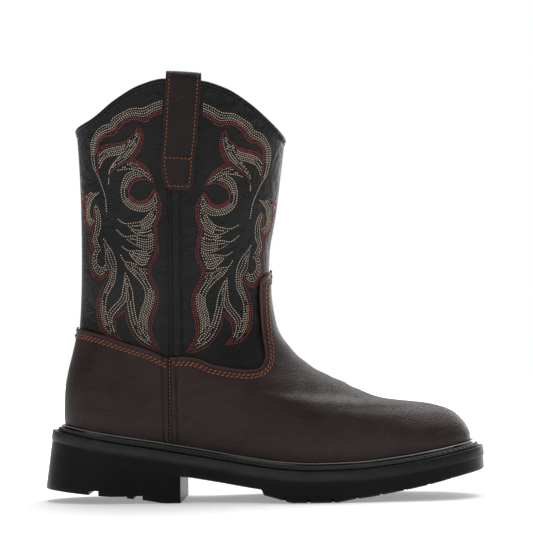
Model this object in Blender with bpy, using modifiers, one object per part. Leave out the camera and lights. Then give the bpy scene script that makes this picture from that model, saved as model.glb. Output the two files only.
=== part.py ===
"""Western work boot for the right foot, lofted through the sections of its last.

+X points at the toe, -Y at the outer side and +Z up. The boot stands on z = 0.
"""

import bmesh
import bpy
import numpy as np

# Sizes of the foot, in metres
FOOT_LENGTH = 0.2848
HEEL_WIDTH = 0.057
WAIST_WIDTH = 0.056
BALL_WIDTH = 0.090
TOE_WIDTH = 0.076
INSTEP_HEIGHT = 0.098

# Sizes of the shaft
SHAFT_LENGTH = 0.132
SHAFT_DEPTH = 0.1476
SHAFT_WIDTH = 0.089
SHAFT_SETBACK = 0.009
COLLAR_RISE = 0.0334

# Leather
LEATHER = 0.0022
OVERLAY = 0.0016
PIPING = 0.0010
PIPING_WIDTH = 0.010
PIPING_SHIFT = 0.004
PIPING_END_GAP = 0.0014
STRAP_LEATHER = 0.0022
STRAP_WIDTH = 0.0240
STRAP_OUTSIDE = 0.078
STRAP_INSIDE = 0.052
STRAP_SETBACK = 0.087
GAP = 0.0003
INNER_STRAP_GAP = 0.0008

# Sole
BALL_THICKNESS = 0.0215
HEEL_RISE = 0.0266
TOE_SPRING = 0.0128
PLATE = 0.0157
WELT_THICKNESS = 0.0032
WELT_LEDGE = 0.0052
WELT_EDGE = 0.0005
RIM = 0.0038
BAND_HEIGHT = 0.0064
BAND_STEP = 0.0006
BEAD_HEIGHT = 0.0018
BEAD_WIDTH = 0.0019
BEAD_CLEARANCE = 0.0010
EDGE_BEVEL = 0.0020
EDGE_BEVEL_WIDTH = 0.0050
INSOLE = 0.0036
SIDE_FLARE = 0.05
BACK_FLARE = 0.127
BREAST_AT = 0.083
BREAST_SKEW = 0.0048
HEEL_LENGTH = 0.098
HEEL_BEVEL = 0.0098
HEEL_GROOVES = (0.027, 0.057)
HEEL_GROOVE_WIDTH = 0.007
TREAD_START = 0.4835
TREAD_END = 0.96
LUG_PITCH = 0.0165
LUG_GROOVE = 0.0022
LUG_DEPTH = 0.0030
LUG_REACH = 0.014

SEAT = WELT_THICKNESS + GAP
SKIN = GAP + OVERLAY
SOLE_OFFSET = SKIN + WELT_LEDGE + RIM
COLUMNS = 48

# Cutters reach this far past the boot: sideways and below its floor in metres, and along it as a share
CUTTER_REACH = 0.09
CUTTER_LOW = -0.05
CUTTER_PAST = 0.1

# Height of the sole's top line: shares of the foot's length, the heel's rise and the toe's spring
SOLE_LINE = [
    # along, rise, spring
    (-0.051, 1.109, 0.0),
    (0.000, 1.000, 0.0),
    (0.093, 0.808, 0.0),
    (0.216, 0.594, 0.0),
    (0.335, 0.376, 0.0),
    (0.4545, 0.150, 0.0),
    (0.528, 0.049, 0.0),
    (0.609, 0.000, 0.0),
    (0.714, 0.000, 0.047),
    (0.813, 0.000, 0.266),
    (0.908, 0.000, 0.610),
    (0.985, 0.000, 0.940),
    (1.024, 0.000, 1.094),
]

# Depth of the tread below that line, as shares of the thickness at the ball
TREAD = [
    # along, depth
    (-0.051, 0.900),
    (0.485, 0.902),
    (0.509, 0.935),
    (0.556, 1.036),
    (0.609, 1.036),
    (0.655, 1.018),
    (0.704, 0.935),
    (0.739, 0.910),
    (0.813, 0.860),
    (0.883, 0.828),
    (0.957, 0.795),
    (1.024, 0.795),
]

# Underside of the heel, from the breast back: shares of the heel's length and of its bevel
HEEL_LINE = [
    # back, lift
    (0.00, 0.00),
    (0.10, 0.00),
    (0.26, 0.23),
    (0.40, 0.39),
    (0.58, 0.56),
    (0.74, 0.71),
    (1.00, 1.00),
]

# Centre line of the foot, as shares of its length and of the ball's width
SPINE = [
    # along, across
    (0.00, 0.007),
    (0.14, 0.007),
    (0.353, -0.011),
    (0.57, -0.009),
    (0.66, 0.007),
    (0.76, 0.033),
    (0.88, 0.055),
    (1.00, 0.069),
]

# Sections from the welt up to the throat. Ends are shares of the foot's length and of
# the instep's height, widths are shares of the four widths above, and a reach is the
# share of the foot's length over which that end rounds off.
FOOT_SECTIONS = [
    # front_x, front_z, back_x, back_z, heel, waist, ball, toe, nose, tail, nose_power
    (0.9925, 0.000, 0.0058, 0.000, 1.000, 1.000, 1.000, 1.000, 0.183, 0.133, 2.60),
    (0.9896, 0.062, 0.0037, 0.087, 1.085, 1.143, 1.067, 1.053, 0.190, 0.133, 2.60),
    (0.9798, 0.1275, 0.0040, 0.153, 1.119, 1.232, 1.089, 1.066, 0.211, 0.137, 2.50),
    (0.9496, 0.2296, 0.0054, 0.251, 1.119, 1.286, 1.067, 1.000, 0.274, 0.140, 2.25),
    (0.8970, 0.310, 0.0093, 0.340, 1.102, 1.304, 1.011, 0.947, 0.365, 0.144, 2.10),
    (0.7810, 0.408, 0.0156, 0.431, 1.085, 1.304, 0.967, 0.947, 0.379, 0.151, 2.00),
    (0.6873, 0.542, 0.0244, 0.538, 1.068, 1.304, 0.933, 0.947, 0.379, 0.161, 2.00),
    (0.6003, 0.6755, 0.0325, 0.649, 1.051, 1.304, 0.911, 0.947, 0.309, 0.176, 2.00),
    (0.5465, 0.815, 0.0367, 0.769, 1.068, 1.304, 0.889, 0.947, 0.267, 0.190, 2.00),
    (0.5178, 0.960, 0.0395, 0.893, 1.136, 1.321, 0.889, 0.947, 0.246, 0.204, 2.05),
]

# Sections from the throat up to the collar, as shares of the shaft's depth, length and width
SHAFT_SECTIONS = [
    # front_x, front_z, back_x, back_z, heel, waist, nose, tail
    (0.4130, 0.192, -0.4800, 0.2826, 0.830, 0.855, 0.447, 0.420),
    (0.4200, 0.381, -0.4790, 0.4490, 0.865, 0.900, 0.447, 0.447),
    (0.4520, 0.593, -0.4810, 0.6460, 0.920, 0.945, 0.461, 0.474),
    (0.4810, 0.8356, -0.4885, 0.8735, 0.966, 0.9775, 0.481, 0.488),
    (0.5000, 1.000, -0.5000, 1.0680, 1.000, 1.000, 0.500, 0.500),
]
SHAFT_POWER = 2.1
TAIL_POWER = 2.2

# Rows over which the foot's bend fades, the sole's line fades and the collar's scallop grows
BEND_ROWS = (5, 11)
FOLLOW_ROWS = 8
FOLLOW_POWER = 1.3
SCALLOP_ROWS = (10, 14)

# Scallop of the collar: shares of the way from back to front and of its rise
COLLAR_LINE = [
    # along, rise
    (0.000, 0.000),
    (0.085, 0.170),
    (0.207, 0.540),
    (0.325, 0.820),
    (0.438, 0.985),
    (0.495, 1.000),
    (0.606, 0.965),
    (0.717, 0.850),
    (0.828, 0.617),
    (0.940, 0.243),
    (1.000, 0.000),
]

# Where the four widths are measured, as shares of the foot's length
WIDTH_STATIONS = (0.142, 0.353, 0.616, 0.879)

# Section rows at which the upper has a ring of points
UPPER_ROWS = [0, 0.5, 1, 1.5, 2, 2.5, 3, 3.5, 4, 4.5, 5, 5.5, 6, 6.5, 7, 7.5, 8, 9, 10, 11, 12, 13, 14]
OVERLAY_ROWS = [row for row in UPPER_ROWS if row <= 11]
PIPING_ROWS = [row for row in UPPER_ROWS if 6 <= row <= 13]
LOWEST_STRAP_ROW = 6

# Top edge of the counter and of the vamp with its tongue, seen from the side: shares of
# the foot's length and of the instep's height above the floor
SEAM_AT = 0.2640
SEAM_GAP = 0.0014
COUNTER_EDGE = [
    # along, up
    (0.000, 1.240),
    (0.029, 1.231),
    (0.095, 1.180),
    (0.155, 1.119),
    (0.211, 1.068),
    (0.255, 1.008),
]
VAMP_EDGE = [
    # along, up
    (0.2735, 1.013),
    (0.307, 1.014),
    (0.338, 0.997),
    (0.372, 0.953),
    (0.440, 0.916),
    (0.4735, 0.920),
    (0.487, 0.949),
    (0.4925, 0.999),
    (0.491, 1.068),
    (0.488, 1.109),
    (0.482, 1.260),
    (0.480, 1.369),
    (0.479, 1.478),
    (0.482, 1.544),
    (0.4915, 1.579),
    (0.512, 1.633),
]

# Outline of a pull strap's outside, from its foot up: shares of its length and width, and
# how far its middle leans forward, as a share of its width
STRAP_SHAPE = [
    # up, width, lean
    (0.000, 0.500, -0.170),
    (0.020, 0.690, -0.170),
    (0.065, 0.800, -0.175),
    (0.250, 0.945, -0.190),
    (0.500, 0.965, -0.110),
    (0.750, 0.985, -0.060),
    (1.000, 1.000, 0.000),
]

HEEL_X = (BACK_FLARE * (BALL_THICKNESS + HEEL_RISE) - FOOT_LENGTH - SIDE_FLARE * BALL_THICKNESS) / 2
SHAFT_X = HEEL_X + SHAFT_SETBACK + SHAFT_DEPTH / 2


def clear_scene():
    for obj in list(bpy.data.objects):
        bpy.data.objects.remove(obj, do_unlink=True)


def smooth(table, column, x):
    """Reads a column of a table at x, along a cubic that keeps between its rows."""
    xs = np.array([row[0] for row in table], float)
    ys = np.array([row[column] for row in table], float)
    return through(xs, ys, x)


def through(xs, ys, x):
    run = np.diff(xs)
    slope = np.diff(ys) / run
    product = slope[1:] * slope[:-1]
    total = np.where(product > 0, slope[1:] + slope[:-1], 1.0)
    inner = np.where(product > 0, 2 * product / total, 0.0)
    tangent = np.concatenate([slope[:1], inner, slope[-1:]])
    x = np.clip(x, xs[0], xs[-1])
    i = np.clip(np.searchsorted(xs, x) - 1, 0, len(run) - 1)
    f = (x - xs[i]) / run[i]
    start = ys[i] * (1 + 2 * f) * (1 - f) ** 2 + tangent[i] * run[i] * f * (1 - f) ** 2
    end = ys[i + 1] * f**2 * (3 - 2 * f) + tangent[i + 1] * run[i] * f**2 * (f - 1)
    return start + end


def sole_line(x):
    """Height of the sole's top at x."""
    along = (x - HEEL_X) / FOOT_LENGTH
    rise = HEEL_RISE * smooth(SOLE_LINE, 1, along)
    return BALL_THICKNESS + rise + TOE_SPRING * smooth(SOLE_LINE, 2, along)


def tread_line(x):
    """Height of the forefoot's underside, which is flat on the floor at the ball."""
    along = (x - HEEL_X) / FOOT_LENGTH
    depth = BALL_THICKNESS * smooth(TREAD, 1, along)
    return np.maximum(sole_line(x) - depth, 0.0)


def section_columns():
    """The two tables of sections as one set of columns in metres, a value for each row."""
    rows = []
    for front_x, front_z, back_x, back_z, heel, waist, ball, toe, nose, tail, power in FOOT_SECTIONS:
        ends = HEEL_X + FOOT_LENGTH * np.array([front_x, back_x])
        heights = sole_line(ends) + SEAT + INSTEP_HEIGHT * np.array([front_z, back_z])
        widths = (HEEL_WIDTH * heel, WAIST_WIDTH * waist, BALL_WIDTH * ball, TOE_WIDTH * toe)
        reaches = (FOOT_LENGTH * nose, FOOT_LENGTH * tail)
        rows.append((*ends, *heights, *widths, *reaches, power))
    throat_z = rows[-1][2]
    for front_x, front_z, back_x, back_z, heel, waist, nose, tail in SHAFT_SECTIONS:
        ends = SHAFT_X + SHAFT_DEPTH * np.array([front_x, back_x])
        heights = throat_z + SHAFT_LENGTH * np.array([front_z, back_z])
        widths = (SHAFT_WIDTH * heel, SHAFT_WIDTH * waist, SHAFT_WIDTH * waist, SHAFT_WIDTH * waist)
        reaches = (SHAFT_DEPTH * nose, SHAFT_DEPTH * tail)
        rows.append((*ends, *heights, *widths, *reaches, SHAFT_POWER))
    return np.array(rows).T


SECTIONS = section_columns()
TOP_ROW = SECTIONS.shape[1] - 1


def ease(value, start, end):
    f = np.clip((value - start) / (end - start), 0, 1)
    return f * f * (3 - 2 * f)


def half_width(x, widths):
    """Half the width at x, eased from one station to the next."""
    stations = HEEL_X + FOOT_LENGTH * np.array(WIDTH_STATIONS)
    value = widths[0] + np.zeros_like(x)
    for left, right, start, end in zip(widths, widths[1:], stations, stations[1:]):
        value = value + (right - left) * ease(x, start, end)
    return value / 2


def surface(s, row):
    """Points of the upper's outer face.

    s goes round once, from the back of the heel over the outer side to the toe and home
    over the inner side. row rises from the welt, 0, to the collar.
    """
    s, row = np.broadcast_arrays(np.asarray(s, float), np.asarray(row, float))
    levels = np.arange(TOP_ROW + 1.0)
    values = [through(levels, column, row) for column in SECTIONS]
    front_x, back_x, front_z, back_z = values[:4]
    nose_reach, tail_reach, power = values[8:]
    u = (1 - np.cos(2 * np.pi * s)) / 2
    x = back_x + u * (front_x - back_x)
    nose = 1 - np.clip((front_x - x) / nose_reach, 0, 1)
    tail = 1 - np.clip((x - back_x) / tail_reach, 0, 1)
    half = half_width(x, values[4:8])
    half = half * (1 - nose**power) ** (1 / power) * (1 - tail**TAIL_POWER) ** (1 / TAIL_POWER)
    bend = BALL_WIDTH * smooth(SPINE, 1, (x - HEEL_X) / FOOT_LENGTH) * (1 - ease(row, *BEND_ROWS))
    y = bend - np.sign(np.sin(2 * np.pi * s)) * half
    follow = np.clip(1 - row / FOLLOW_ROWS, 0, 1) ** FOLLOW_POWER
    chord = sole_line(back_x) + u * (sole_line(front_x) - sole_line(back_x))
    scallop = COLLAR_RISE * ease(row, *SCALLOP_ROWS) * smooth(COLLAR_LINE, 1, u)
    z = back_z + u * (front_z - back_z) + follow * (sole_line(x) - chord) + scallop
    return np.stack([x, y, z], axis=-1)


def normal(s, row):
    """Outward direction of the upper's outer face."""
    step = 0.002
    around = surface(s + step, row) - surface(s - step, row)
    low, high = np.clip(row - 0.02, 0, TOP_ROW), np.clip(row + 0.02, 0, TOP_ROW)
    up = surface(s, high) - surface(s, low)
    across = np.cross(around, up)
    return across / np.linalg.norm(across, axis=-1, keepdims=True)


def skin(offset, rows, columns=COLUMNS):
    """Rings of points at a distance outside the upper, with a level foot on the welt."""
    s, row = np.meshgrid(np.arange(columns) / columns, np.array(rows, float))
    points = surface(s, row) + offset * normal(s, row)
    for ring, level in zip(points, rows):
        if level == 0:
            ring[:, 2] = sole_line(ring[:, 0]) + SEAT
    return list(points)


def outline(offset):
    """The upper's outline at the welt, moved outwards in plan, and its outward directions."""
    s = np.arange(COLUMNS) / COLUMNS
    around = surface(s + 0.002, 0.0) - surface(s - 0.002, 0.0)
    outward = np.stack([around[:, 1], -around[:, 0]], axis=-1)
    outward /= np.linalg.norm(outward, axis=-1, keepdims=True)
    return surface(s, 0.0)[:, :2] + outward * np.reshape(offset, (-1, 1)), outward


def plan_ring(offset, height):
    """A ring of points at an offset from the upper's outline; height is a function of x."""
    points, _ = outline(offset)
    return np.column_stack([points, height(points[:, 0])])


def material(name, colour, roughness):
    made = bpy.data.materials.new(name)
    made.use_nodes = True
    shader = made.node_tree.nodes["Principled BSDF"]
    shader.inputs["Base Color"].default_value = (*colour, 1)
    shader.inputs["Roughness"].default_value = roughness
    shader.inputs["Metallic"].default_value = 0
    return made


def collection(name, hidden=False):
    made = bpy.data.collections.new(name)
    made.hide_render = hidden
    bpy.context.scene.collection.children.link(made)
    return made


def finish_mesh(name, bm, group, look=None):
    bmesh.ops.recalc_face_normals(bm, faces=bm.faces)
    mesh = bpy.data.meshes.new(name)
    bm.to_mesh(mesh)
    bm.free()
    if look:
        mesh.materials.append(look)
        mesh.shade_smooth()
        mesh.set_sharp_from_angle(angle=0.7)
    obj = bpy.data.objects.new(name, mesh)
    group.objects.link(obj)
    return obj


def band(bm, low, high):
    """Triangles between two rings. The diagonals mirror each other on the boot's two sides."""
    count = len(low)
    for i in range(count):
        j = (i + 1) % count
        if i < count // 2:
            bm.faces.new((low[i], low[j], high[j]))
            bm.faces.new((low[i], high[j], high[i]))
        else:
            bm.faces.new((low[i], low[j], high[i]))
            bm.faces.new((low[j], high[j], high[i]))


def wall(name, outer, inner, group, look):
    """The leather between two skins whose rings and diagonals answer each other."""
    bm = bmesh.new()
    skins = [[[bm.verts.new(point) for point in ring] for ring in rings] for rings in (outer, inner)]
    for made in skins:
        for low, high in zip(made, made[1:]):
            band(bm, low, high)
    for end in (0, -1):
        band(bm, skins[0][end], skins[1][end])
    return finish_mesh(name, bm, group, look)


def loft(name, rings, group, look, closed=False):
    """Skins one ring to the next. An open loft is capped by strips between its two sides."""
    bm = bmesh.new()
    made = [[bm.verts.new(point) for point in ring] for ring in rings]
    pairs = list(zip(made, made[1:]))
    if closed:
        pairs.append((made[-1], made[0]))
    for low, high in pairs:
        band(bm, low, high)
    if not closed:
        middle = len(made[0]) // 2
        for ring in (made[0], made[-1]):
            bm.faces.new((ring[0], ring[1], ring[-1]))
            for i in range(1, middle - 1):
                bm.faces.new((ring[i], ring[i + 1], ring[-i - 1], ring[-i]))
            bm.faces.new((ring[middle - 1], ring[middle], ring[middle + 1]))
    return finish_mesh(name, bm, group, look)


def prism(name, points, group, skew=0.0, low_y=-CUTTER_REACH, high_y=CUTTER_REACH):
    """A side-view outline of (x, z) points drawn out along Y; skew shifts its inner end ahead."""
    bm = bmesh.new()
    corners = [bm.verts.new((x, low_y, z)) for x, z in points]
    face = bm.faces.new(corners)
    moved = bmesh.ops.extrude_face_region(bm, geom=[face])["geom"]
    ends = [item for item in moved if isinstance(item, bmesh.types.BMVert)]
    bmesh.ops.translate(bm, verts=ends, vec=(skew, high_y - low_y, 0))
    return cutter(finish_mesh(name, bm, group))


def cutter(obj):
    obj.hide_render = True
    obj.display_type = "WIRE"
    return obj


def cut(obj, tool, operation):
    modifier = obj.modifiers.new(tool.name, "BOOLEAN")
    modifier.operation = operation
    modifier.object = tool


def side_view(table):
    """A table of shares as (x, z) points in metres."""
    return [(HEEL_X + FOOT_LENGTH * along, INSTEP_HEIGHT * up) for along, up in table]


def make_upper(group, look):
    outer = skin(0.0, UPPER_ROWS)
    inner = skin(-LEATHER, UPPER_ROWS)
    inner[-1][:, 2] = outer[-1][:, 2]
    return wall("upper", outer, inner, group, look)


def make_overlay(name, rows, thickness, group, look):
    return wall(name, skin(GAP + thickness, rows), skin(GAP, rows), group, look)


def make_vamp(group, cutters, look):
    vamp = make_overlay("vamp", OVERLAY_ROWS, OVERLAY, group, look)
    seam_x = HEEL_X + FOOT_LENGTH * SEAM_AT + SEAM_GAP / 2
    edge = side_view(VAMP_EDGE)
    beyond = HEEL_X + (1 + CUTTER_PAST) * FOOT_LENGTH
    corners = [(seam_x, CUTTER_LOW), (seam_x, edge[0][1])] + edge
    corners += [(beyond, edge[-1][1]), (beyond, CUTTER_LOW)]
    cut(vamp, prism("vamp_outline", corners, cutters), "INTERSECT")
    return vamp


def make_counter(group, cutters, look):
    counter = make_overlay("counter", OVERLAY_ROWS, OVERLAY, group, look)
    seam_x = HEEL_X + FOOT_LENGTH * SEAM_AT - SEAM_GAP / 2
    edge = side_view(COUNTER_EDGE)
    beyond = HEEL_X - CUTTER_PAST * FOOT_LENGTH
    corners = [(beyond, CUTTER_LOW), (beyond, edge[0][1])] + edge
    corners += [(seam_x, edge[-1][1]), (seam_x, CUTTER_LOW)]
    cut(counter, prism("counter_outline", corners, cutters), "INTERSECT")
    return counter


def make_piping(side, name, group, cutters, look):
    piping = make_overlay(name, PIPING_ROWS, PIPING, group, look)
    middle = HEEL_X + FOOT_LENGTH * SEAM_AT + PIPING_SHIFT
    low = side_view(VAMP_EDGE)[0][1] + PIPING_END_GAP
    high = collar_height(middle) - STRAP_OUTSIDE - PIPING_END_GAP
    low_x, high_x = middle - PIPING_WIDTH / 2, middle + PIPING_WIDTH / 2
    corners = [(low_x, low), (high_x, low), (high_x, high), (low_x, high)]
    near, far = sorted((0.0, side * CUTTER_REACH))
    cut(piping, prism(name + "_outline", corners, cutters, low_y=near, high_y=far), "INTERSECT")
    return piping


def place_on_shaft(x, drop, side):
    """Round position and row on the shaft at x, a drop below the collar, on one side."""
    x, drop = np.broadcast_arrays(np.asarray(x, float), np.asarray(drop, float))
    levels = np.arange(TOP_ROW + 1.0)

    def position(row):
        front_x, back_x = (through(levels, column, row) for column in SECTIONS[:2])
        u = np.clip((x - back_x) / (front_x - back_x), 0, 1)
        half_turn = np.arccos(1 - 2 * u) / (2 * np.pi)
        return half_turn if side < 0 else 1 - half_turn

    top = np.full(x.shape, float(TOP_ROW))
    target = surface(position(top), top)[..., 2] - drop
    low, high = np.full(x.shape, float(LOWEST_STRAP_ROW)), top.copy()
    for _ in range(40):
        middle = (low + high) / 2
        below = surface(position(middle), middle)[..., 2] < target
        low, high = np.where(below, middle, low), np.where(below, high, middle)
    row = (low + high) / 2
    return position(row), row


def collar_height(x):
    s, row = place_on_shaft(x, 0.0, -1)
    return float(surface(s, row)[2])


def make_strap(side, name, group, look):
    """A strap up the outside of the shaft, over the collar and down its inside."""
    across = np.linspace(-0.5, 0.5, 6)
    middle_x = HEEL_X + STRAP_SETBACK
    outside, inside = GAP + STRAP_LEATHER / 2, LEATHER + INNER_STRAP_GAP + STRAP_LEATHER / 2
    rows = []
    for up, width, lean in STRAP_SHAPE:
        x = middle_x + STRAP_WIDTH * (lean + width * across)
        s, row = place_on_shaft(x, STRAP_OUTSIDE * (1 - up), side)
        rows.append(surface(s, row) + outside * normal(s, row))
    s, row = place_on_shaft(middle_x + STRAP_WIDTH * across, 0.0, side)
    edge, out = surface(s, row), normal(s, row)
    rise = surface(s, row) - surface(s, row - 0.02)
    rise /= np.linalg.norm(rise, axis=-1, keepdims=True)
    centre = edge + out * (outside - inside) / 2
    radius = (outside + inside) / 2
    for turn in np.radians((30, 60, 90, 120, 150)):
        rows.append(centre + radius * (np.cos(turn) * out + np.sin(turn) * rise))
    for drop in (0.0, 0.35, 0.7, 1.0):
        s, row = place_on_shaft(middle_x + STRAP_WIDTH * across, STRAP_INSIDE * drop, side)
        rows.append(surface(s, row) - inside * normal(s, row))
    bm = bmesh.new()
    made = [[bm.verts.new(point) for point in line] for line in rows]
    for low, high in zip(made, made[1:]):
        for i in range(len(across) - 1):
            bm.faces.new((low[i], low[i + 1], high[i + 1], high[i]))
    strap = finish_mesh(name, bm, group, look)
    leather = strap.modifiers.new("leather", "SOLIDIFY")
    leather.thickness = STRAP_LEATHER
    leather.offset = 0
    leather.use_even_offset = True
    return strap


def make_welt(group, look):
    """Flat strip with a raised bead against the upper, half a gap above the sole."""
    inner = -LEATHER
    bead = SKIN + BEAD_CLEARANCE
    edge = SKIN + WELT_LEDGE
    profile = [
        # out from the upper's face, up from the welt's underside
        (inner, 0.0),
        (edge, 0.0),
        (edge, WELT_THICKNESS - WELT_EDGE),
        (edge - WELT_EDGE, WELT_THICKNESS),
        (bead + BEAD_WIDTH + WELT_EDGE, WELT_THICKNESS - WELT_EDGE),
        (bead + BEAD_WIDTH, WELT_THICKNESS + BEAD_HEIGHT * 0.6),
        (bead + BEAD_WIDTH * 0.5, WELT_THICKNESS + BEAD_HEIGHT),
        (bead, WELT_THICKNESS + BEAD_HEIGHT * 0.8),
        (bead, WELT_THICKNESS),
        (inner, WELT_THICKNESS),
    ]
    rings = [plan_ring(out, lambda x, up=up: sole_line(x) + GAP / 2 + up) for out, up in profile]
    return loft("welt", rings, group, look, closed=True)


def make_insole(group, look):
    reach = -(LEATHER + GAP)
    low = plan_ring(reach, lambda x: sole_line(x) + GAP)
    high = plan_ring(reach, lambda x: sole_line(x) + GAP + INSOLE)
    return loft("insole", [low, high], group, look)


def flared(depth_at, inset=0.0):
    """A ring on the sole's side, at a depth below the sole's top that is a function of x."""
    base, outward = outline(SOLE_OFFSET)
    flare = SIDE_FLARE + (BACK_FLARE - SIDE_FLARE) * np.clip(-outward[:, 0], 0, 1) ** 2
    depth = depth_at(base[:, 0])
    points, _ = outline(SOLE_OFFSET - inset + flare * depth)
    return np.column_stack([points, sole_line(base[:, 0]) - depth])


def tread_height(x):
    return sole_line(x) - tread_line(x)


def make_outsole(group, cutters, look):
    rings = [
        flared(lambda x: 0 * x),
        flared(lambda x: 0 * x + BAND_HEIGHT),
        flared(lambda x: 0 * x + BAND_HEIGHT + BAND_STEP, BAND_STEP),
        flared(lambda x: tread_height(x) - EDGE_BEVEL, BAND_STEP),
        flared(lambda x: tread_height(x), EDGE_BEVEL_WIDTH),
    ]
    outsole = loft("outsole", rings, group, look)
    start_x = HEEL_X + TREAD_START * FOOT_LENGTH
    back_x = HEEL_X - CUTTER_PAST * FOOT_LENGTH
    stations = np.linspace(start_x, back_x, 14)
    under = [(x, float(sole_line(x)) - PLATE) for x in stations]
    under += [(back_x, CUTTER_LOW), (start_x, CUTTER_LOW)]
    cut(outsole, prism("waist_clearance", under, cutters), "DIFFERENCE")
    first = start_x + LUG_PITCH * 0.9
    grooves = np.arange(first, HEEL_X + TREAD_END * FOOT_LENGTH, LUG_PITCH)
    cut(outsole, grooving("tread_grooves", grooves, tread_line, cutters), "DIFFERENCE")
    return outsole


def grooving(name, stations, floor_at, cutters, width=LUG_GROOVE):
    """A row of blocks along both edges of the sole, which leave its lugs standing."""
    edge = flared(tread_height)
    half = COLUMNS // 2
    bm = bmesh.new()
    for x in stations:
        for side in (edge[1:half], edge[:half:-1]):
            y = np.interp(x, side[:, 0], side[:, 1])
            block = bmesh.ops.create_cube(bm, size=1)["verts"]
            bmesh.ops.scale(bm, vec=(width, 2 * LUG_REACH, 2 * LUG_DEPTH), verts=block)
            bmesh.ops.translate(bm, vec=(x, y, float(floor_at(x))), verts=block)
    return cutter(finish_mesh(name, bm, cutters))


def heel_line(x):
    """Height of the heel's underside, flat behind the breast and lifted towards the back."""
    return HEEL_BEVEL * smooth(HEEL_LINE, 1, (HEEL_X + BREAST_AT - x) / HEEL_LENGTH)


def make_heel(group, cutters, look):
    rings = [
        flared(lambda x: 0 * x + PLATE + GAP, BAND_STEP),
        flared(lambda x: sole_line(x) + LUG_DEPTH, BAND_STEP),
    ]
    heel = loft("heel", rings, group, look)
    breast_x = HEEL_X + BREAST_AT
    stations = breast_x - HEEL_LENGTH * np.array([0, 0.1, 0.26, 0.4, 0.58, 0.74, 0.9, 1.05])
    side = [(x, float(heel_line(x))) for x in stations]
    side += [(stations[-1], CUTTER_REACH), (breast_x, CUTTER_REACH)]
    profile = [(x - BREAST_SKEW / 2, z) for x, z in side]
    cut(heel, prism("heel_profile", profile, cutters, skew=BREAST_SKEW), "INTERSECT")
    grooves = breast_x - np.array(HEEL_GROOVES)
    cut(heel, grooving("heel_grooves", grooves, heel_line, cutters, HEEL_GROOVE_WIDTH), "DIFFERENCE")
    return heel


def main():
    clear_scene()
    parts = collection("western_work_boot")
    cutters = collection("western_work_boot_cutters", hidden=True)
    shaft = material("black_leather", (0.013, 0.013, 0.014), 0.62)
    brown = material("brown_leather", (0.034, 0.022, 0.020), 0.50)
    rubber = material("black_rubber", (0.012, 0.012, 0.013), 0.45)
    lining = material("insole_board", (0.12, 0.085, 0.06), 0.8)
    make_upper(parts, shaft)
    make_vamp(parts, cutters, brown)
    make_counter(parts, cutters, brown)
    for side, word in ((-1, "outer"), (1, "inner")):
        make_piping(side, f"side_piping_{word}", parts, cutters, shaft)
        make_strap(side, f"pull_strap_{word}", parts, brown)
    make_welt(parts, rubber)
    make_insole(parts, lining)
    make_outsole(parts, cutters, rubber)
    make_heel(parts, cutters, rubber)


main()
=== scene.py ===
import math

import bmesh
import bpy
import numpy as np
from mathutils import Matrix, Vector
from mathutils.bvhtree import BVHTree
from mathutils.kdtree import KDTree


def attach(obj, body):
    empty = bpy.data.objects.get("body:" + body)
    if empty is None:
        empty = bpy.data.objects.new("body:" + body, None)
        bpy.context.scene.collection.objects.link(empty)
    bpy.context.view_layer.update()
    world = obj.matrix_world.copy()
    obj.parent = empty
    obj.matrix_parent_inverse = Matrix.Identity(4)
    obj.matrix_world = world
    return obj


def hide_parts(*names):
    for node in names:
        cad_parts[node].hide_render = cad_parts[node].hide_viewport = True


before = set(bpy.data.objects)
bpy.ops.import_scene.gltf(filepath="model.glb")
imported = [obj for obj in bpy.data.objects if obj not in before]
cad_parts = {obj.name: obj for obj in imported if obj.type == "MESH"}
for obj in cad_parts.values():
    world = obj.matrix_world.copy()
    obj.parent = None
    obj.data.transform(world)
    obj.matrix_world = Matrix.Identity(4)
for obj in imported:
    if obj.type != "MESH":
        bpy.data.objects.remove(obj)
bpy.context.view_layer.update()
print("frame loaded:", len(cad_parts), "solids")


# the last and the shaft, in metres, with the same sizes as the solids
last = dict(
    length=0.2848,
    heel=0.057,
    waist=0.056,
    ball=0.090,
    toe=0.076,
    instep=0.098,
    shaftLength=0.132,
    shaftDepth=0.1476,
    shaftWidth=0.089,
    shaftSetback=0.009,
    collarRise=0.0334,
    wall=0.0022,
    gap=0.0003,
)
sole = dict(
    ballThickness=0.0215,
    heelRise=0.0266,
    toeSpring=0.0128,
    plate=0.0157,
    weltThickness=0.0032,
    weltLedge=0.0052,
    rim=0.0038,
    sideFlare=0.05,
    backFlare=0.127,
    treadStart=0.4835,
    treadEnd=0.96,
    breastAt=0.083,
    breastSkew=0.0048,
    heelLength=0.098,
    heelBevel=0.0098,
)
overlayThickness = 0.0016
seat = sole["weltThickness"] + last["gap"]
skin = last["gap"] + overlayThickness
soleOffset = skin + sole["weltLedge"] + sole["rim"]

# height of the sole's top: shares of the foot's length, the heel's rise and the toe's spring
soleTable = [
    (-0.051, 1.109, 0.0), (0.000, 1.000, 0.0), (0.093, 0.808, 0.0), (0.216, 0.594, 0.0),
    (0.335, 0.376, 0.0), (0.4545, 0.150, 0.0), (0.528, 0.049, 0.0), (0.609, 0.000, 0.0),
    (0.714, 0.000, 0.047), (0.813, 0.000, 0.266), (0.908, 0.000, 0.610), (0.985, 0.000, 0.940),
    (1.024, 0.000, 1.094),
]
# depth of the tread below it, as a share of the thickness at the ball
treadTable = [
    (-0.051, 0.900), (0.485, 0.902), (0.509, 0.935), (0.556, 1.036), (0.609, 1.036), (0.655, 1.018),
    (0.704, 0.935), (0.739, 0.910), (0.813, 0.860), (0.883, 0.828), (0.957, 0.795), (1.024, 0.795),
]
# underside of the heel, back from its breast: shares of the heel's length and of its bevel
heelTable = [(0.00, 0.00), (0.10, 0.00), (0.26, 0.23), (0.40, 0.39), (0.58, 0.56), (0.74, 0.71),
             (1.00, 1.00)]
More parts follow.
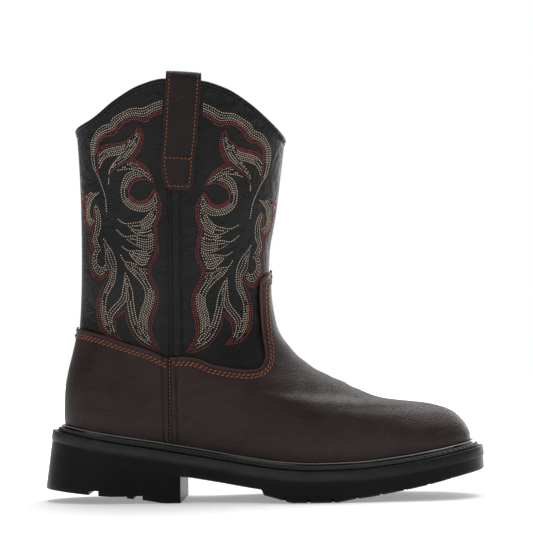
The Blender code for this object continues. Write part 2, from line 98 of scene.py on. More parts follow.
# centre line of the foot: shares of its length and of the ball's width
spineTable = [
    (0.00, 0.007), (0.14, 0.007), (0.353, -0.011), (0.57, -0.009), (0.66, 0.007), (0.76, 0.033),
    (0.88, 0.055), (1.00, 0.069),
]
# frontX, frontZ, backX, backZ, then widths at heel, waist, ball and toe, reach of nose and tail, power
footSections = [
    (0.9925, 0.000, 0.0058, 0.000, 1.000, 1.000, 1.000, 1.000, 0.183, 0.133, 2.60),
    (0.9918, 0.062, 0.0037, 0.087, 1.085, 1.143, 1.067, 1.053, 0.190, 0.133, 2.60),
    (0.9828, 0.1275, 0.0040, 0.153, 1.119, 1.232, 1.089, 1.066, 0.211, 0.137, 2.50),
    (0.9526, 0.2330, 0.0054, 0.251, 1.119, 1.286, 1.067, 1.000, 0.274, 0.140, 2.25),
    (0.8995, 0.3140, 0.0093, 0.340, 1.102, 1.304, 1.011, 0.947, 0.365, 0.144, 2.10),
    (0.7820, 0.4110, 0.0156, 0.431, 1.085, 1.304, 0.967, 0.947, 0.379, 0.151, 2.00),
    (0.6873, 0.542, 0.0244, 0.538, 1.068, 1.304, 0.933, 0.947, 0.379, 0.161, 2.00),
    (0.6003, 0.6755, 0.0325, 0.649, 1.051, 1.304, 0.911, 0.947, 0.309, 0.176, 2.00),
    (0.5465, 0.815, 0.0367, 0.769, 1.068, 1.304, 0.889, 0.947, 0.267, 0.190, 2.00),
    (0.5178, 0.960, 0.0395, 0.893, 1.136, 1.321, 0.889, 0.947, 0.246, 0.204, 2.05),
]
# frontX, frontZ, backX, backZ, widths at the back and the middle, reach of front and back
shaftSections = [
    (0.4130, 0.192, -0.4800, 0.2826, 0.830, 0.855, 0.447, 0.420),
    (0.4200, 0.381, -0.4790, 0.4490, 0.865, 0.900, 0.447, 0.447),
    (0.4520, 0.593, -0.4810, 0.6460, 0.920, 0.945, 0.461, 0.474),
    (0.4810, 0.8356, -0.4885, 0.8735, 0.966, 0.9775, 0.481, 0.488),
    (0.5000, 1.000, -0.5000, 1.0560, 1.000, 1.000, 0.500, 0.500),
]
collarTable = [
    (0.000, 0.000), (0.085, 0.158), (0.207, 0.556), (0.325, 0.852), (0.438, 0.993), (0.495, 1.000),
    (0.606, 0.985), (0.717, 0.872), (0.828, 0.612), (0.940, 0.228), (1.000, 0.000),
]
widthStations = (0.142, 0.353, 0.616, 0.879)
shaftPower, tailPower = 2.1, 2.2
topRow = len(footSections) + len(shaftSections) - 1

heelX = (sole["backFlare"] * (sole["ballThickness"] + sole["heelRise"]) - last["length"]
         - sole["sideFlare"] * sole["ballThickness"]) / 2
shaftX = heelX + last["shaftSetback"] + last["shaftDepth"] / 2


def through(xs, ys, x):
    # a cubic through the rows of a table that keeps between them
    run = np.diff(xs)
    slope = np.diff(ys) / run
    product = slope[1:] * slope[:-1]
    total = np.where(product > 0, slope[1:] + slope[:-1], 1.0)
    inner = np.where(product > 0, 2 * product / total, 0.0)
    tangent = np.concatenate([slope[:1], inner, slope[-1:]])
    x = np.clip(x, xs[0], xs[-1])
    i = np.clip(np.searchsorted(xs, x) - 1, 0, len(run) - 1)
    f = (x - xs[i]) / run[i]
    start = ys[i] * (1 + 2 * f) * (1 - f) ** 2 + tangent[i] * run[i] * f * (1 - f) ** 2
    end = ys[i + 1] * f**2 * (3 - 2 * f) + tangent[i + 1] * run[i] * f**2 * (f - 1)
    return start + end


def readTable(table, column, x):
    return through(np.array([r[0] for r in table], float), np.array([r[column] for r in table], float), x)


def soleHeight(x):
    along = (x - heelX) / last["length"]
    rise = sole["heelRise"] * readTable(soleTable, 1, along)
    return sole["ballThickness"] + rise + sole["toeSpring"] * readTable(soleTable, 2, along)


def treadHeight(x):
    depth = sole["ballThickness"] * readTable(treadTable, 1, (x - heelX) / last["length"])
    return np.maximum(soleHeight(x) - depth, 0.0)


def heelHeight(x):
    return sole["heelBevel"] * readTable(heelTable, 1, (heelX + sole["breastAt"] - x) / sole["heelLength"])


def sectionColumns():
    rows = []
    for frontX, frontZ, backX, backZ, heel, waist, ball, toe, nose, tail, power in footSections:
        ends = heelX + last["length"] * np.array([frontX, backX])
        heights = soleHeight(ends) + seat + last["instep"] * np.array([frontZ, backZ])
        widths = (last["heel"] * heel, last["waist"] * waist, last["ball"] * ball, last["toe"] * toe)
        rows.append((*ends, *heights, *widths, last["length"] * nose, last["length"] * tail, power))
    throatZ = rows[-1][2]
    for frontX, frontZ, backX, backZ, heel, waist, nose, tail in shaftSections:
        ends = shaftX + last["shaftDepth"] * np.array([frontX, backX])
        heights = throatZ + last["shaftLength"] * np.array([frontZ, backZ])
        widths = last["shaftWidth"] * np.array([heel, waist, waist, waist])
        reach = last["shaftDepth"] * np.array([nose, tail])
        rows.append((*ends, *heights, *widths, *reach, shaftPower))
    return np.array(rows).T


sections = sectionColumns()


def atRow(column, row):
    return through(np.arange(topRow + 1.0), sections[column], row)


def ease(value, start, end):
    f = np.clip((value - start) / (end - start), 0, 1)
    return f * f * (3 - 2 * f)


def bump(value, centre, width):
    # a soft hill of height 1
    return np.exp(-(((value - centre) / width) ** 2))


def surfacePoint(s, row):
    # s runs once round from the back over the outer side, row rises from the welt to the collar
    s, row = np.broadcast_arrays(np.asarray(s, float), np.asarray(row, float))
    frontX, backX, frontZ, backZ = (atRow(column, row) for column in range(4))
    widths = [atRow(column, row) for column in range(4, 8)]
    noseReach, tailReach, power = (atRow(column, row) for column in range(8, 11))
    u = (1 - np.cos(2 * np.pi * s)) / 2
    x = backX + u * (frontX - backX)
    nose = 1 - np.clip((frontX - x) / noseReach, 0, 1)
    tail = 1 - np.clip((x - backX) / tailReach, 0, 1)
    stations = heelX + last["length"] * np.array(widthStations)
    width = widths[0] + np.zeros_like(x)
    for left, right, start, end in zip(widths, widths[1:], stations, stations[1:]):
        width = width + (right - left) * ease(x, start, end)
    half = width / 2 * (1 - nose**power) ** (1 / power) * (1 - tail**tailPower) ** (1 / tailPower)
    bend = last["ball"] * readTable(spineTable, 1, (x - heelX) / last["length"]) * (1 - ease(row, 5, 11))
    y = bend - np.sign(np.sin(2 * np.pi * s)) * half
    follow = np.clip(1 - row / 8, 0, 1) ** 1.3
    chord = soleHeight(backX) + u * (soleHeight(frontX) - soleHeight(backX))
    scallop = last["collarRise"] * ease(row, 10, 14) * readTable(collarTable, 1, u)
    z = backZ + u * (frontZ - backZ) + follow * (soleHeight(x) - chord) + scallop
    return np.stack([x, y, z], axis=-1)


def surfaceNormal(s, row):
    s, row = np.broadcast_arrays(np.asarray(s, float), np.asarray(row, float))
    around = surfacePoint(s + 0.002, row) - surfacePoint(s - 0.002, row)
    up = surfacePoint(s, np.clip(row + 0.02, 0, topRow)) - surfacePoint(s, np.clip(row - 0.02, 0, topRow))
    across = np.cross(around, up)
    return across / np.linalg.norm(across, axis=-1, keepdims=True)


def surfaceRise(s, row, step):
    # the way up along the leather
    up = surfacePoint(s, row) - surfacePoint(s, row - step)
    return up / np.linalg.norm(up, axis=-1, keepdims=True)


def turnAt(x, row, side):
    # the round position at x on one side of a row
    frontX, backX = atRow(0, row), atRow(1, row)
    u = np.clip((x - backX) / (frontX - backX), 0, 1)
    half = np.arccos(1 - 2 * u) / (2 * np.pi)
    return half if side < 0 else 1 - half


def placeAt(x, z, side, lowest=3.0):
    # round position and row of the point of the upper that shows at x, z from one side
    x, z = np.broadcast_arrays(np.asarray(x, float), np.asarray(z, float))
    low, high = np.full(x.shape, lowest), np.full(x.shape, float(topRow))
    for _ in range(40):
        middle = (low + high) / 2
        below = surfacePoint(turnAt(x, middle, side), middle)[..., 2] < z
        low, high = np.where(below, middle, low), np.where(below, high, middle)
    row = (low + high) / 2
    return turnAt(x, row, side), row


def collarHeight(x):
    return surfacePoint(turnAt(x, float(topRow), -1), float(topRow))[..., 2]


def planOutline(s, offset):
    around = surfacePoint(s + 0.002, 0.0) - surfacePoint(s - 0.002, 0.0)
    outward = np.stack([around[..., 1], -around[..., 0]], axis=-1)
    outward /= np.linalg.norm(outward, axis=-1, keepdims=True)
    return surfacePoint(s, 0.0)[..., :2] + outward * np.reshape(offset, (-1, 1)), outward


def soleSide(s, depth, inset):
    # a point of the sole's flared side at a depth below its top
    base, outward = planOutline(s, soleOffset)
    flare = sole["sideFlare"] + (sole["backFlare"] - sole["sideFlare"]) * np.clip(-outward[:, 0], 0, 1) ** 2
    points, _ = planOutline(s, soleOffset - inset + flare * depth)
    return np.column_stack([points, soleHeight(base[:, 0]) - depth])


def resample(points, count):
    run = np.concatenate([[0], np.cumsum(np.linalg.norm(np.diff(points, axis=0), axis=1))])
    at = np.linspace(0, run[-1], count)
    return np.column_stack([np.interp(at, run, points[:, k]) for k in range(points.shape[1])])


def smoothLine(points, count):
    # an even curve through given points
    points = np.asarray(points, float)
    if len(points) > 2:
        padded = np.vstack([2 * points[0] - points[1], points, 2 * points[-1] - points[-2]])
        f = np.linspace(0, 1, 12, endpoint=False)[:, None]
        parts = []
        for a, b, c, d in zip(padded, padded[1:], padded[2:], padded[3:]):
            parts.append(0.5 * (2 * b + (c - a) * f + (2 * a - 5 * b + 4 * c - d) * f**2
                                + (3 * b - a - 3 * c + d) * f**3))
        points = np.vstack(parts + [points[-1:]])
    return resample(points, count)


def lineLength(points):
    return float(np.linalg.norm(np.diff(points, axis=0), axis=1).sum())


# the camera's place
view = dict(distance=1.300, height=0.0973, along=0.00255, lens=1841 / 533 * 36, pitch=2.884, roll=-0.7)


def cameraTurn():
    return (Matrix.Rotation(math.radians(90 + view["pitch"]), 4, "X")
            @ Matrix.Rotation(math.radians(view["roll"]), 4, "Z"))


# mesh helpers

def addObject(name, data):
    obj = bpy.data.objects.new(name, data)
    bpy.context.scene.collection.objects.link(obj)
    return obj


def gridMesh(across, up, place):
    # a grid whose corners are moved onto a form
    bm = bmesh.new()
    bmesh.ops.create_grid(bm, x_segments=across, y_segments=up, size=0.5)
    spots = np.array([v.co[:2] for v in bm.verts]) + 0.5
    for vert, point in zip(bm.verts, place(spots[:, 0], spots[:, 1])):
        vert.co = point
    return bm


def weld(bm, distance=0.000005):
    bmesh.ops.remove_doubles(bm, verts=bm.verts, dist=distance)


def joinInto(bm, other):
    spare = bpy.data.meshes.new("spare")
    other.to_mesh(spare)
    other.free()
    bm.from_mesh(spare)
    bpy.data.meshes.remove(spare)


def meshObject(name, bm, *looks):
    mesh = bpy.data.meshes.new(name)
    bm.to_mesh(mesh)
    bm.free()
    for look in looks:
        mesh.materials.append(look)
    mesh.shade_smooth()
    return addObject(name, mesh)


def readVectors(rows, name):
    flat = np.empty(len(rows) * 3, np.float32)
    rows.foreach_get(name, flat)
    return flat.reshape(-1, 3).astype(float)


def readPoints(obj):
    return readVectors(obj.data.vertices, "co")


def readNormals(obj):
    return readVectors(obj.data.vertex_normals, "vector")


def writePoints(obj, points):
    obj.data.vertices.foreach_set("co", points.astype(np.float32).ravel())
    obj.data.update()


def writeField(obj, name, values):
    field = obj.data.attributes.get(name) or obj.data.attributes.new(name, "FLOAT", "POINT")
    field.data.foreach_set("value", np.asarray(values, np.float32))


def faceOut(obj, centre=None):
    # turns an open shell so that its faces look away from the foot
    points, normals = readPoints(obj), readNormals(obj)
    middle = np.array([shaftX, 0, 0.1]) if centre is None else np.array(centre)
    away = points - middle
    away[:, 0] *= 0.5
    if (normals * away).sum() < 0:
        obj.data.flip_normals()


def pointTree(points):
    tree = KDTree(len(points))
    for i, point in enumerate(points):
        tree.insert(point, i)
    tree.balance()
    return tree


def distanceTo(points, line):
    tree = pointTree(line)
    return np.array([tree.find(point)[2] for point in points])


def treeOf(obj):
    bm = bmesh.new()
    bm.from_mesh(obj.data)
    tree = BVHTree.FromBMesh(bm)
    bm.free()
    return tree


def addWall(obj, thickness, rimLook=None, innerLook=None):
    wall = obj.modifiers.new("wall", "SOLIDIFY")
    wall.thickness = thickness
    wall.offset = -1
    wall.use_even_offset = False
    if innerLook is not None:
        wall.material_offset = innerLook
    if rimLook is not None:
        wall.material_offset_rim = rimLook


def addBevel(obj, width):
    edge = obj.modifiers.new("edge", "BEVEL")
    edge.width = width
    edge.segments = 2
    edge.limit_method = "ANGLE"
    edge.angle_limit = math.radians(50)


def ride(obj, slotName, *nodes):
    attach(obj, "root")
    if nodes:
        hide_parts(*nodes)


def sectionAt(section, b):
    # both coordinates of a section at shares of its corners
    at = b * (len(section) - 1)
    return [np.interp(at, range(len(section)), [point[k] for point in section]) for k in range(2)]


def cutAway(obj, tool):
    # takes the tool out of obj for good
    cut = obj.modifiers.new("cut", "BOOLEAN")
    cut.operation = "DIFFERENCE"
    cut.solver = "EXACT"
    cut.object = tool
    graph = bpy.context.evaluated_depsgraph_get()
    mesh = bpy.data.meshes.new_from_object(obj.evaluated_get(graph))
    obj.modifiers.remove(cut)
    obj.data = mesh
    bpy.data.objects.remove(tool)


# materials

def addNode(tree, kind, inputs=(), **settings):
    made = tree.nodes.new("ShaderNode" + kind)
    for key, value in settings.items():
        setattr(made, key, value)
    for key, value in dict(inputs).items():
        if isinstance(value, bpy.types.NodeSocket):
            tree.links.new(value, made.inputs[key])
        else:
            made.inputs[key].default_value = value
    return made


class Look:
    # a node material that is written from the shader back
    def __init__(self, name, roughness):
        self.material = bpy.data.materials.new(name)
        self.material.use_nodes = True
        self.tree = self.material.node_tree
        self.shader = self.tree.nodes["Principled BSDF"]
        self.shader.inputs["Roughness"].default_value = roughness
        self.place = self.tree.nodes.new("ShaderNodeTexCoord").outputs["Object"]

    def node(self, kind, inputs=(), **settings):
        return addNode(self.tree, kind, inputs, **settings)

    def noise(self, scale, detail=3.0, roughness=0.5, stretch=None, distortion=0.0):
        place = self.place
        if stretch:
            place = self.node("Mapping", {"Vector": place, "Scale": stretch}).outputs[0]
        made = self.node("TexNoise", {"Vector": place, "Scale": scale, "Detail": detail,
                                      "Roughness": roughness, "Distortion": distortion})
        return made.outputs["Fac"]

    def cells(self, scale, feature="F1"):
        made = self.node("TexVoronoi", {"Vector": self.place, "Scale": scale}, feature=feature)
        return made.outputs["Distance"]

    def field(self, name):
        return self.node("Attribute", attribute_name=name).outputs["Fac"]

    def span(self, value, low, high, start=0.0, end=1.0):
        made = self.node("MapRange", {"Value": value, "From Min": low, "From Max": high,
                                      "To Min": start, "To Max": end}, clamp=True)
        return made.outputs[0]

    def sum(self, *values):
        total = values[0]
        for value in values[1:]:
            total = self.node("Math", {0: total, 1: value}, operation="ADD").outputs[0]
        return total

    def times(self, a, b):
        return self.node("Math", {0: a, 1: b}, operation="MULTIPLY").outputs[0]

    def mix(self, factor, a, b):
        made = self.node("Mix", data_type="RGBA")
        for socket, value in zip((made.inputs[0], made.inputs[6], made.inputs[7]), (factor, a, b)):
            if isinstance(value, bpy.types.NodeSocket):
                self.tree.links.new(value, socket)
            elif hasattr(value, "__len__"):
                socket.default_value = (*value, 1)
            else:
                socket.default_value = value
        return made.outputs[2]

    def colour(self, value):
        if hasattr(value, "__len__"):
            self.shader.inputs["Base Color"].default_value = (*value, 1)
        else:
            self.tree.links.new(value, self.shader.inputs["Base Color"])

    def rough(self, value):
        self.tree.links.new(value, self.shader.inputs["Roughness"])

    def relief(self, *layers):
        # each layer is a height and its depth in metres
        normal = None
        for height, depth in layers:
            made = self.node("Bump", {"Height": height, "Distance": depth, "Strength": 1.0})
            if normal is not None:
                self.tree.links.new(normal, made.inputs["Normal"])
            normal = made.outputs[0]
        self.tree.links.new(normal, self.shader.inputs["Normal"])


brownTones = dict(
    deep=(0.0160, 0.0092, 0.0088),
    mid=(0.0290, 0.0168, 0.0156),
    light=(0.0460, 0.0270, 0.0235),
    rawEdgeHighlight=(0.110, 0.042, 0.024),
)


def stripe(look, value, middle, width):
    # a soft line where a value passes its middle
    off = look.node("Math", {0: value, 1: -middle}, operation="ADD").outputs[0]
    return look.span(look.node("Math", {0: off}, operation="ABSOLUTE").outputs[0], 0.0, width, 1.0, 0.0)


def brownLeather():
    look = Look("brownLeather", 0.46)
    look.shader.inputs["Specular IOR Level"].default_value = 0.22
    look.shader.inputs["Coat Weight"].default_value = 0.03
    look.shader.inputs["Coat Roughness"].default_value = 0.32
    cloud = look.noise(24, 4, 0.6)
    streak = look.noise(90, 4, 0.65, stretch=(1, 1, 1.8), distortion=0.8)
    fine = look.noise(520, 3, 0.6)
    grain = look.cells(820, "SMOOTH_F1")
    tone = look.mix(look.span(cloud, 0.32, 0.68), brownTones["deep"], brownTones["mid"])
    tone = look.mix(look.span(streak, 0.45, 0.80, 0.0, 0.55), tone, brownTones["light"])
    tone = look.mix(look.span(fine, 0.50, 0.75, 0.0, 0.35), tone, brownTones["light"])
    edge, seam = look.field("edge"), look.field("seam")
    # painted highlight: the raw edge and a 0.9 mm strip along it are painted bright orange, as where light
    # catches the rolled edge
    rawHighlight = look.span(edge, 0.0001, 0.0009, 1.0, 0.0)
    # painted shade: a groove 4.6 mm from the side seam on each panel is painted near black, beside the dark
    # butt seam itself
    groove = look.node("Math", {0: stripe(look, seam, 0.0046, 0.0011), 1: stripe(look, seam, 0.0, 0.0009)},
                       operation="MAXIMUM").outputs[0]
    tone = look.mix(look.times(groove, 0.85), tone, (0.004, 0.003, 0.003))
    tone = look.mix(look.times(rawHighlight, 0.80), tone, brownTones["rawEdgeHighlight"])
    look.colour(look.mix(look.times(look.field("dark"), 0.65), tone, (0.006, 0.0035, 0.0035)))
    look.rough(look.sum(look.span(cloud, 0.3, 0.7, 0.47, 0.58), look.span(fine, 0.4, 0.7, -0.05, 0.07)))
    flat = look.span(groove, 0, 1, 1, 0)
    look.relief((cloud, 0.0004), (streak, 0.00022), (grain, 0.00026), (fine, 0.00018), (flat, 0.0006))
    return look.material


def blackLeather():
    look = Look("blackLeather", 0.5)
    look.shader.inputs["Specular IOR Level"].default_value = 0.26
    cloud = look.noise(22, 4, 0.6)
    fine = look.noise(620, 3, 0.6)
    grain = look.cells(950, "SMOOTH_F1")
    wrinkle = look.noise(150, 3, 0.55, stretch=(1, 1, 0.55), distortion=1.2)
    x = look.node("SeparateXYZ", {0: look.place}).outputs[0]
    front = look.span(x, -0.030, 0.002, 0.15, 1.0)
    look.colour(look.mix(look.span(cloud, 0.35, 0.7), (0.0024, 0.0024, 0.0026), (0.0050, 0.0050, 0.0053)))
    look.rough(look.sum(look.span(fine, 0.35, 0.7, 0.40, 0.54), look.span(cloud, 0.3, 0.7, -0.04, 0.08)))
    look.relief((cloud, 0.0022), (look.times(wrinkle, front), 0.0022),
                (grain, 0.00022), (fine, 0.00018))
    return look.material


def plainRubber():
    look = Look("rubberBody", 0.42)
    look.shader.inputs["Specular IOR Level"].default_value = 0.16
    cloud = look.noise(60, 3, 0.6)
    fine = look.noise(1100, 2, 0.6)
    look.colour(look.mix(look.span(cloud, 0.3, 0.75), (0.0028, 0.0028, 0.0030), (0.0042, 0.0042, 0.0045)))
    look.rough(look.sum(look.span(cloud, 0.3, 0.7, 0.36, 0.48), look.span(fine, 0.4, 0.7, -0.04, 0.05)))
    look.relief((fine, 0.0001))
    return look.material


def sheenBandRubber():
    # a satin band under the outsole's rim, a little smoother, painted lighter grey as a sheen where light
    # catches it, fading towards the toe and into the black flank
    look = Look("rubberSheenBand", 0.4)
    look.shader.inputs["Specular IOR Level"].default_value = 0.18
    cloud = look.noise(90, 4, 0.6, stretch=(0.5, 1, 2))
    fine = look.noise(1100, 2, 0.6)
    depth = look.field("depth")
    x = look.node("SeparateXYZ", {0: look.place}).outputs[0]
    inside = look.times(look.span(depth, 0.0002, 0.0008), look.span(depth, 0.0040, 0.0088, 1.0, 0.0))
    band = look.times(inside, look.span(x, 0.02, 0.14, 1.0, 0.20))
    band = look.times(band, look.span(cloud, 0.30, 0.70, 0.60, 1.25))
    # painted sheen: the band is painted lighter grey than the black rubber
    look.colour(look.mix(band, (0.0030, 0.0030, 0.0032), (0.0300, 0.0300, 0.0310)))
    look.rough(look.sum(look.span(band, 0, 1, 0.40, 0.36), look.span(fine, 0.4, 0.7, -0.04, 0.05)))
    look.relief((fine, 0.0001))
    return look.material


def beadedRubber():
    # the welt: a glossy bead with a pale line painted on its crest as a highlight, above a matt ledge
    look = Look("rubberBead", 0.3)
    look.shader.inputs["Specular IOR Level"].default_value = 0.75
    fine = look.noise(1100, 2, 0.6)
    dark = look.mix(fine, (0.0022, 0.0022, 0.0024), (0.0040, 0.0040, 0.0043))
    height = look.field("bead")
    # painted highlight: the top of the bead's crest is painted pale grey
    look.colour(look.mix(look.span(height, 0.60, 0.86), dark, (0.27, 0.27, 0.275)))
    look.rough(look.sum(look.span(height, 0, 0.1, 0.62, 0.17), look.span(fine, 0.4, 0.7, -0.02, 0.03)))
    return look.material


def threadLook(name, colour):
    look = Look(name, 0.55)
    strand = look.noise(2600, 2, 0.6)
    look.colour(look.mix(look.span(strand, 0.3, 0.7), [c * 0.55 for c in colour], colour))
    look.relief((strand, 0.00008))
    return look.material


def liningLook():
    look = Look("lining", 0.85)
    weave = look.cells(1500, "F1")
    cloud = look.noise(40, 3)
    look.colour(look.mix(look.span(cloud, 0.3, 0.7), (0.020, 0.019, 0.018), (0.040, 0.037, 0.034)))
    look.relief((weave, 0.0002))
    return look.material


def insoleLook():
    look = Look("insoleBoard", 0.85)
    cloud = look.noise(50, 3)
    fibre = look.noise(900, 3, 0.7, stretch=(1, 0.25, 1))
    look.colour(look.mix(look.span(cloud, 0.3, 0.7), (0.016, 0.015, 0.014), (0.035, 0.032, 0.030)))
    look.relief((fibre, 0.0002))
    return look.material


brown = brownLeather()
black = blackLeather()
rubberBody = plainRubber()
rubberSheenBand = sheenBandRubber()
rubberBead = beadedRubber()
lining = liningLook()
insoleBoard = insoleLook()
print("materials made")


# upper

upperShape = dict(columns=220, rows=140)


def upperPlace(a, b):
    row = topRow * b
    points = surfacePoint(a, row)
    foot = row == 0
    points[foot, 2] = soleHeight(points[foot, 0]) + seat
    return points


def makeUpper():
    bm = gridMesh(upperShape["columns"], upperShape["rows"], upperPlace)
    weld(bm)
    upper = meshObject("upper_shell", bm, black, lining)
    faceOut(upper)
    return upper


upper = makeUpper()
upperTree = treeOf(upper)
addWall(upper, last["wall"], rimLook=0, innerLook=1)
ride(upper, "shaft_leather", "upper")
print("upper made")


# collar fold: the leather turned over the rim

collarFold = dict(depth=0.0026, thickness=0.0008, columns=220, rows=22)


def foldPlace(a, b):
    rim = surfacePoint(a, float(topRow))
    out = surfaceNormal(a, float(topRow))
    up = surfaceRise(a, float(topRow), 0.05)
    thick, deep, wall = collarFold["thickness"], collarFold["depth"], last["wall"]
    section = [
        (0.0, -deep), (thick, -deep + 0.0003), (thick * 1.15, -deep * 0.5), (thick, -0.0004),
        (thick * 0.3, thick * 0.7),
        (-wall * 0.3, thick * 1.1), (-wall * 0.7, thick * 1.1), (-wall - thick * 0.3, thick * 0.7),
        (-wall - thick, -0.0004), (-wall - thick * 1.15, -deep * 0.5), (-wall - thick, -deep + 0.0003),
        (-wall, -deep),
    ]
    across, height = sectionAt(section, b)
    return rim + out * across[:, None] + up * height[:, None]


def makeCollarFold():
    bm = gridMesh(collarFold["columns"], collarFold["rows"], foldPlace)
    weld(bm)
    bmesh.ops.recalc_face_normals(bm, faces=bm.faces)
    ride(meshObject("collar_fold", bm, black), "shaft_leather")


makeCollarFold()
print("collar fold made")


# vamp and counter: brown overlays that end on their sewn edges

seamAt, seamGap = 0.2640, 0.0005
counterEdge = [(0.000, 1.240), (0.029, 1.231), (0.095, 1.180), (0.155, 1.119), (0.211, 1.068),
               (0.255, 1.008)]
vampEdge = [
    (0.2735, 1.013), (0.307, 1.014), (0.338, 0.997), (0.372, 0.953), (0.440, 0.916), (0.4735, 0.920),
    (0.487, 0.949), (0.4925, 0.999), (0.491, 1.068), (0.488, 1.109), (0.482, 1.260), (0.480, 1.369),
    (0.479, 1.478), (0.482, 1.544), (0.4915, 1.579), (0.512, 1.633),
]
vampShape = dict(columns=340, rows=110)
counterShape = dict(columns=200, rows=70)
rolledEdge = dict(swell=0.00035, width=0.0010, groove=0.00030, grooveAt=0.0022, grooveWidth=0.0007)


def edgeColumns(table, start, count, towardsFront):
    # the sewn edge as (x share of its region, row) from the side seam to the centre line
    line = smoothLine([(heelX + last["length"] * a, last["instep"] * u) for a, u in table], 400)
    s, row = placeAt(line[:, 0], line[:, 1], -1)
    x = surfacePoint(s, row)[:, 0]
    end = atRow(0, row) if towardsFront else atRow(1, row)
    share = (x - start) / (end - start)
    if not towardsFront:
        share, row = share[::-1], row[::-1]
    share[0], share[-1] = 0.0, 1.0
    share = np.maximum.accumulate(share)
    # columns crowd towards the centre line, where the outline turns across x
    turn = np.sqrt(np.clip(1 - share, 0, 1))
    run = np.concatenate([[0], np.cumsum(np.hypot(np.diff(turn) * 9, np.diff(row)))])
    at = np.linspace(0, run[-1], count)
    return 1 - np.interp(at, run, turn) ** 2, np.interp(at, run, row)


def overlayPlace(table, start, columns, towardsFront):
    share, top = edgeColumns(table, start, columns // 2 + 1, towardsFront)

    def place(a, b):
        # a runs from one side seam over the centre line to the other
        folded = np.minimum(a, 1 - a) * 2
        at = np.linspace(0, 1, len(share))
        f, row = np.interp(folded, at, share), np.interp(folded, at, top) * b
        end = atRow(0, row) if towardsFront else atRow(1, row)
        x = start + f * (end - start)
        s = np.where(a <= 0.5, turnAt(x, row, -1), turnAt(x, row, 1))
        points = surfacePoint(s, row) + skin * surfaceNormal(s, row)
        foot = row == 0
        points[foot, 2] = soleHeight(points[foot, 0]) + seat
        return points

    return place


# soft troughs across the vamp: x, lean, width, depth and how far down the flank they reach, in metres
creases = [
    (0.063, 0.10, 0.0045, 0.00075, 0.060), (0.050, 0.05, 0.0040, 0.00035, 0.064),
    (0.036, -0.05, 0.0060, 0.00055, 0.070), (0.018, -0.20, 0.0060, 0.00050, 0.078),
    (0.002, -0.35, 0.0065, 0.00060, 0.090), (-0.014, -0.50, 0.0070, 0.00050, 0.104),
]


def creaseRelief(points):
    relief = np.zeros(len(points))
    for x, lean, width, depth, low in creases:
        top = soleHeight(np.array([x]))[0] + 0.05
        wander = 0.0016 * np.sin(points[:, 1] * 130 + x * 900)
        across = points[:, 0] - x + lean * (points[:, 2] - top) + wander
        fade = ease(points[:, 2], low - 0.016, low + 0.006)
        ridges = 0.7 * bump(across, -width * 1.1, width) + 0.6 * bump(across, width * 1.1, width)
        relief += 0.45 * fade * depth * (ridges - bump(across, 0, width * 0.8))
    return relief


def makeOverlay(name, table, start, shape, towardsFront):
    place = overlayPlace(table, start, shape["columns"], towardsFront)
    bm = gridMesh(shape["columns"], shape["rows"], place)
    weld(bm)
    panel = meshObject(name, bm, brown)
    faceOut(panel)
    steps = np.linspace(0, 1, 1600)
    topEdge = place(steps, np.ones_like(steps))
    up = np.linspace(0, 1, 600)
    seams = np.vstack([place(np.zeros(600), up), place(np.ones(600), up)])
    points, normals = readPoints(panel), readNormals(panel)
    fromTop = distanceTo(points, topEdge)
    fromSeam = distanceTo(points, seams)
    relief = rolledEdge["swell"] * bump(fromTop, 0.0004, rolledEdge["width"])
    relief -= rolledEdge["groove"] * bump(fromTop, rolledEdge["grooveAt"], rolledEdge["grooveWidth"])
    if towardsFront:
        relief += creaseRelief(points) * ease(fromTop, 0.002, 0.010)
    writePoints(panel, points + normals * relief[:, None])
    writeField(panel, "edge", fromTop)
    writeField(panel, "seam", fromSeam)
    return panel


seamX = heelX + last["length"] * seamAt
vamp = makeOverlay("vamp_panel", vampEdge, seamX + seamGap / 2, vampShape, True)
counter = makeOverlay("counter_panel", counterEdge, seamX - seamGap / 2, counterShape, False)
vampTree, counterTree = treeOf(vamp), treeOf(counter)
for panel, node in ((vamp, "vamp"), (counter, "counter")):
    addWall(panel, overlayThickness)
    ride(panel, "brown_leather", node)
print("vamp and counter made")


# side piping

piping = dict(width=0.010, shift=0.004, endGap=0.0014, thickness=0.0010, strapOutside=0.078,
              rows=(0.08, 0.37, 0.91), ridges=(0.22, 0.60, 0.78), ridge=0.00045)


def pipingPlace(side):
    middle = seamX + piping["shift"]
    low = last["instep"] * vampEdge[0][1] + piping["endGap"]
    high = float(collarHeight(middle)) - piping["strapOutside"] + 0.004

    def place(a, b):
        x = middle + piping["width"] * (a - 0.5)
        s, row = placeAt(x, low + (high - low) * b, side)
        lift = last["gap"] + piping["thickness"] * (0.4 + 0.6 * np.sin(np.pi * np.clip(a, 0, 1)) ** 0.6)
        for share in piping["ridges"]:
            lift = lift + piping["ridge"] * bump(a, share, 0.07)
        for share in piping["rows"]:
            lift = lift - piping["ridge"] * 1.3 * bump(a, share, 0.05)
        return surfacePoint(s, row) + lift[:, None] * surfaceNormal(s, row)

    return place


def makePiping(side, word):
    place = pipingPlace(side)
    strip = meshObject(f"side_strip_{word}", gridMesh(48, 90, place), black)
    faceOut(strip)
    tree = treeOf(strip)
    addWall(strip, 0.0009)
    ride(strip, "shaft_leather", f"side_piping_{word}")
    return place, tree


strips = {side: makePiping(side, word) for side, word in ((-1, "outer"), (1, "inner"))}
print("side strips made")


# pull straps

strap = dict(width=0.0240, thickness=0.0022, outside=0.0757, inside=0.052, setback=0.087, innerGap=0.0008,
             loopRise=0.0022)
strapShape = [
    (0.000, 0.500, -0.170), (0.020, 0.690, -0.170), (0.065, 0.800, -0.175), (0.250, 0.945, -0.190),
    (0.500, 0.965, -0.110), (0.750, 0.985, -0.060), (1.000, 1.000, 0.000),
]


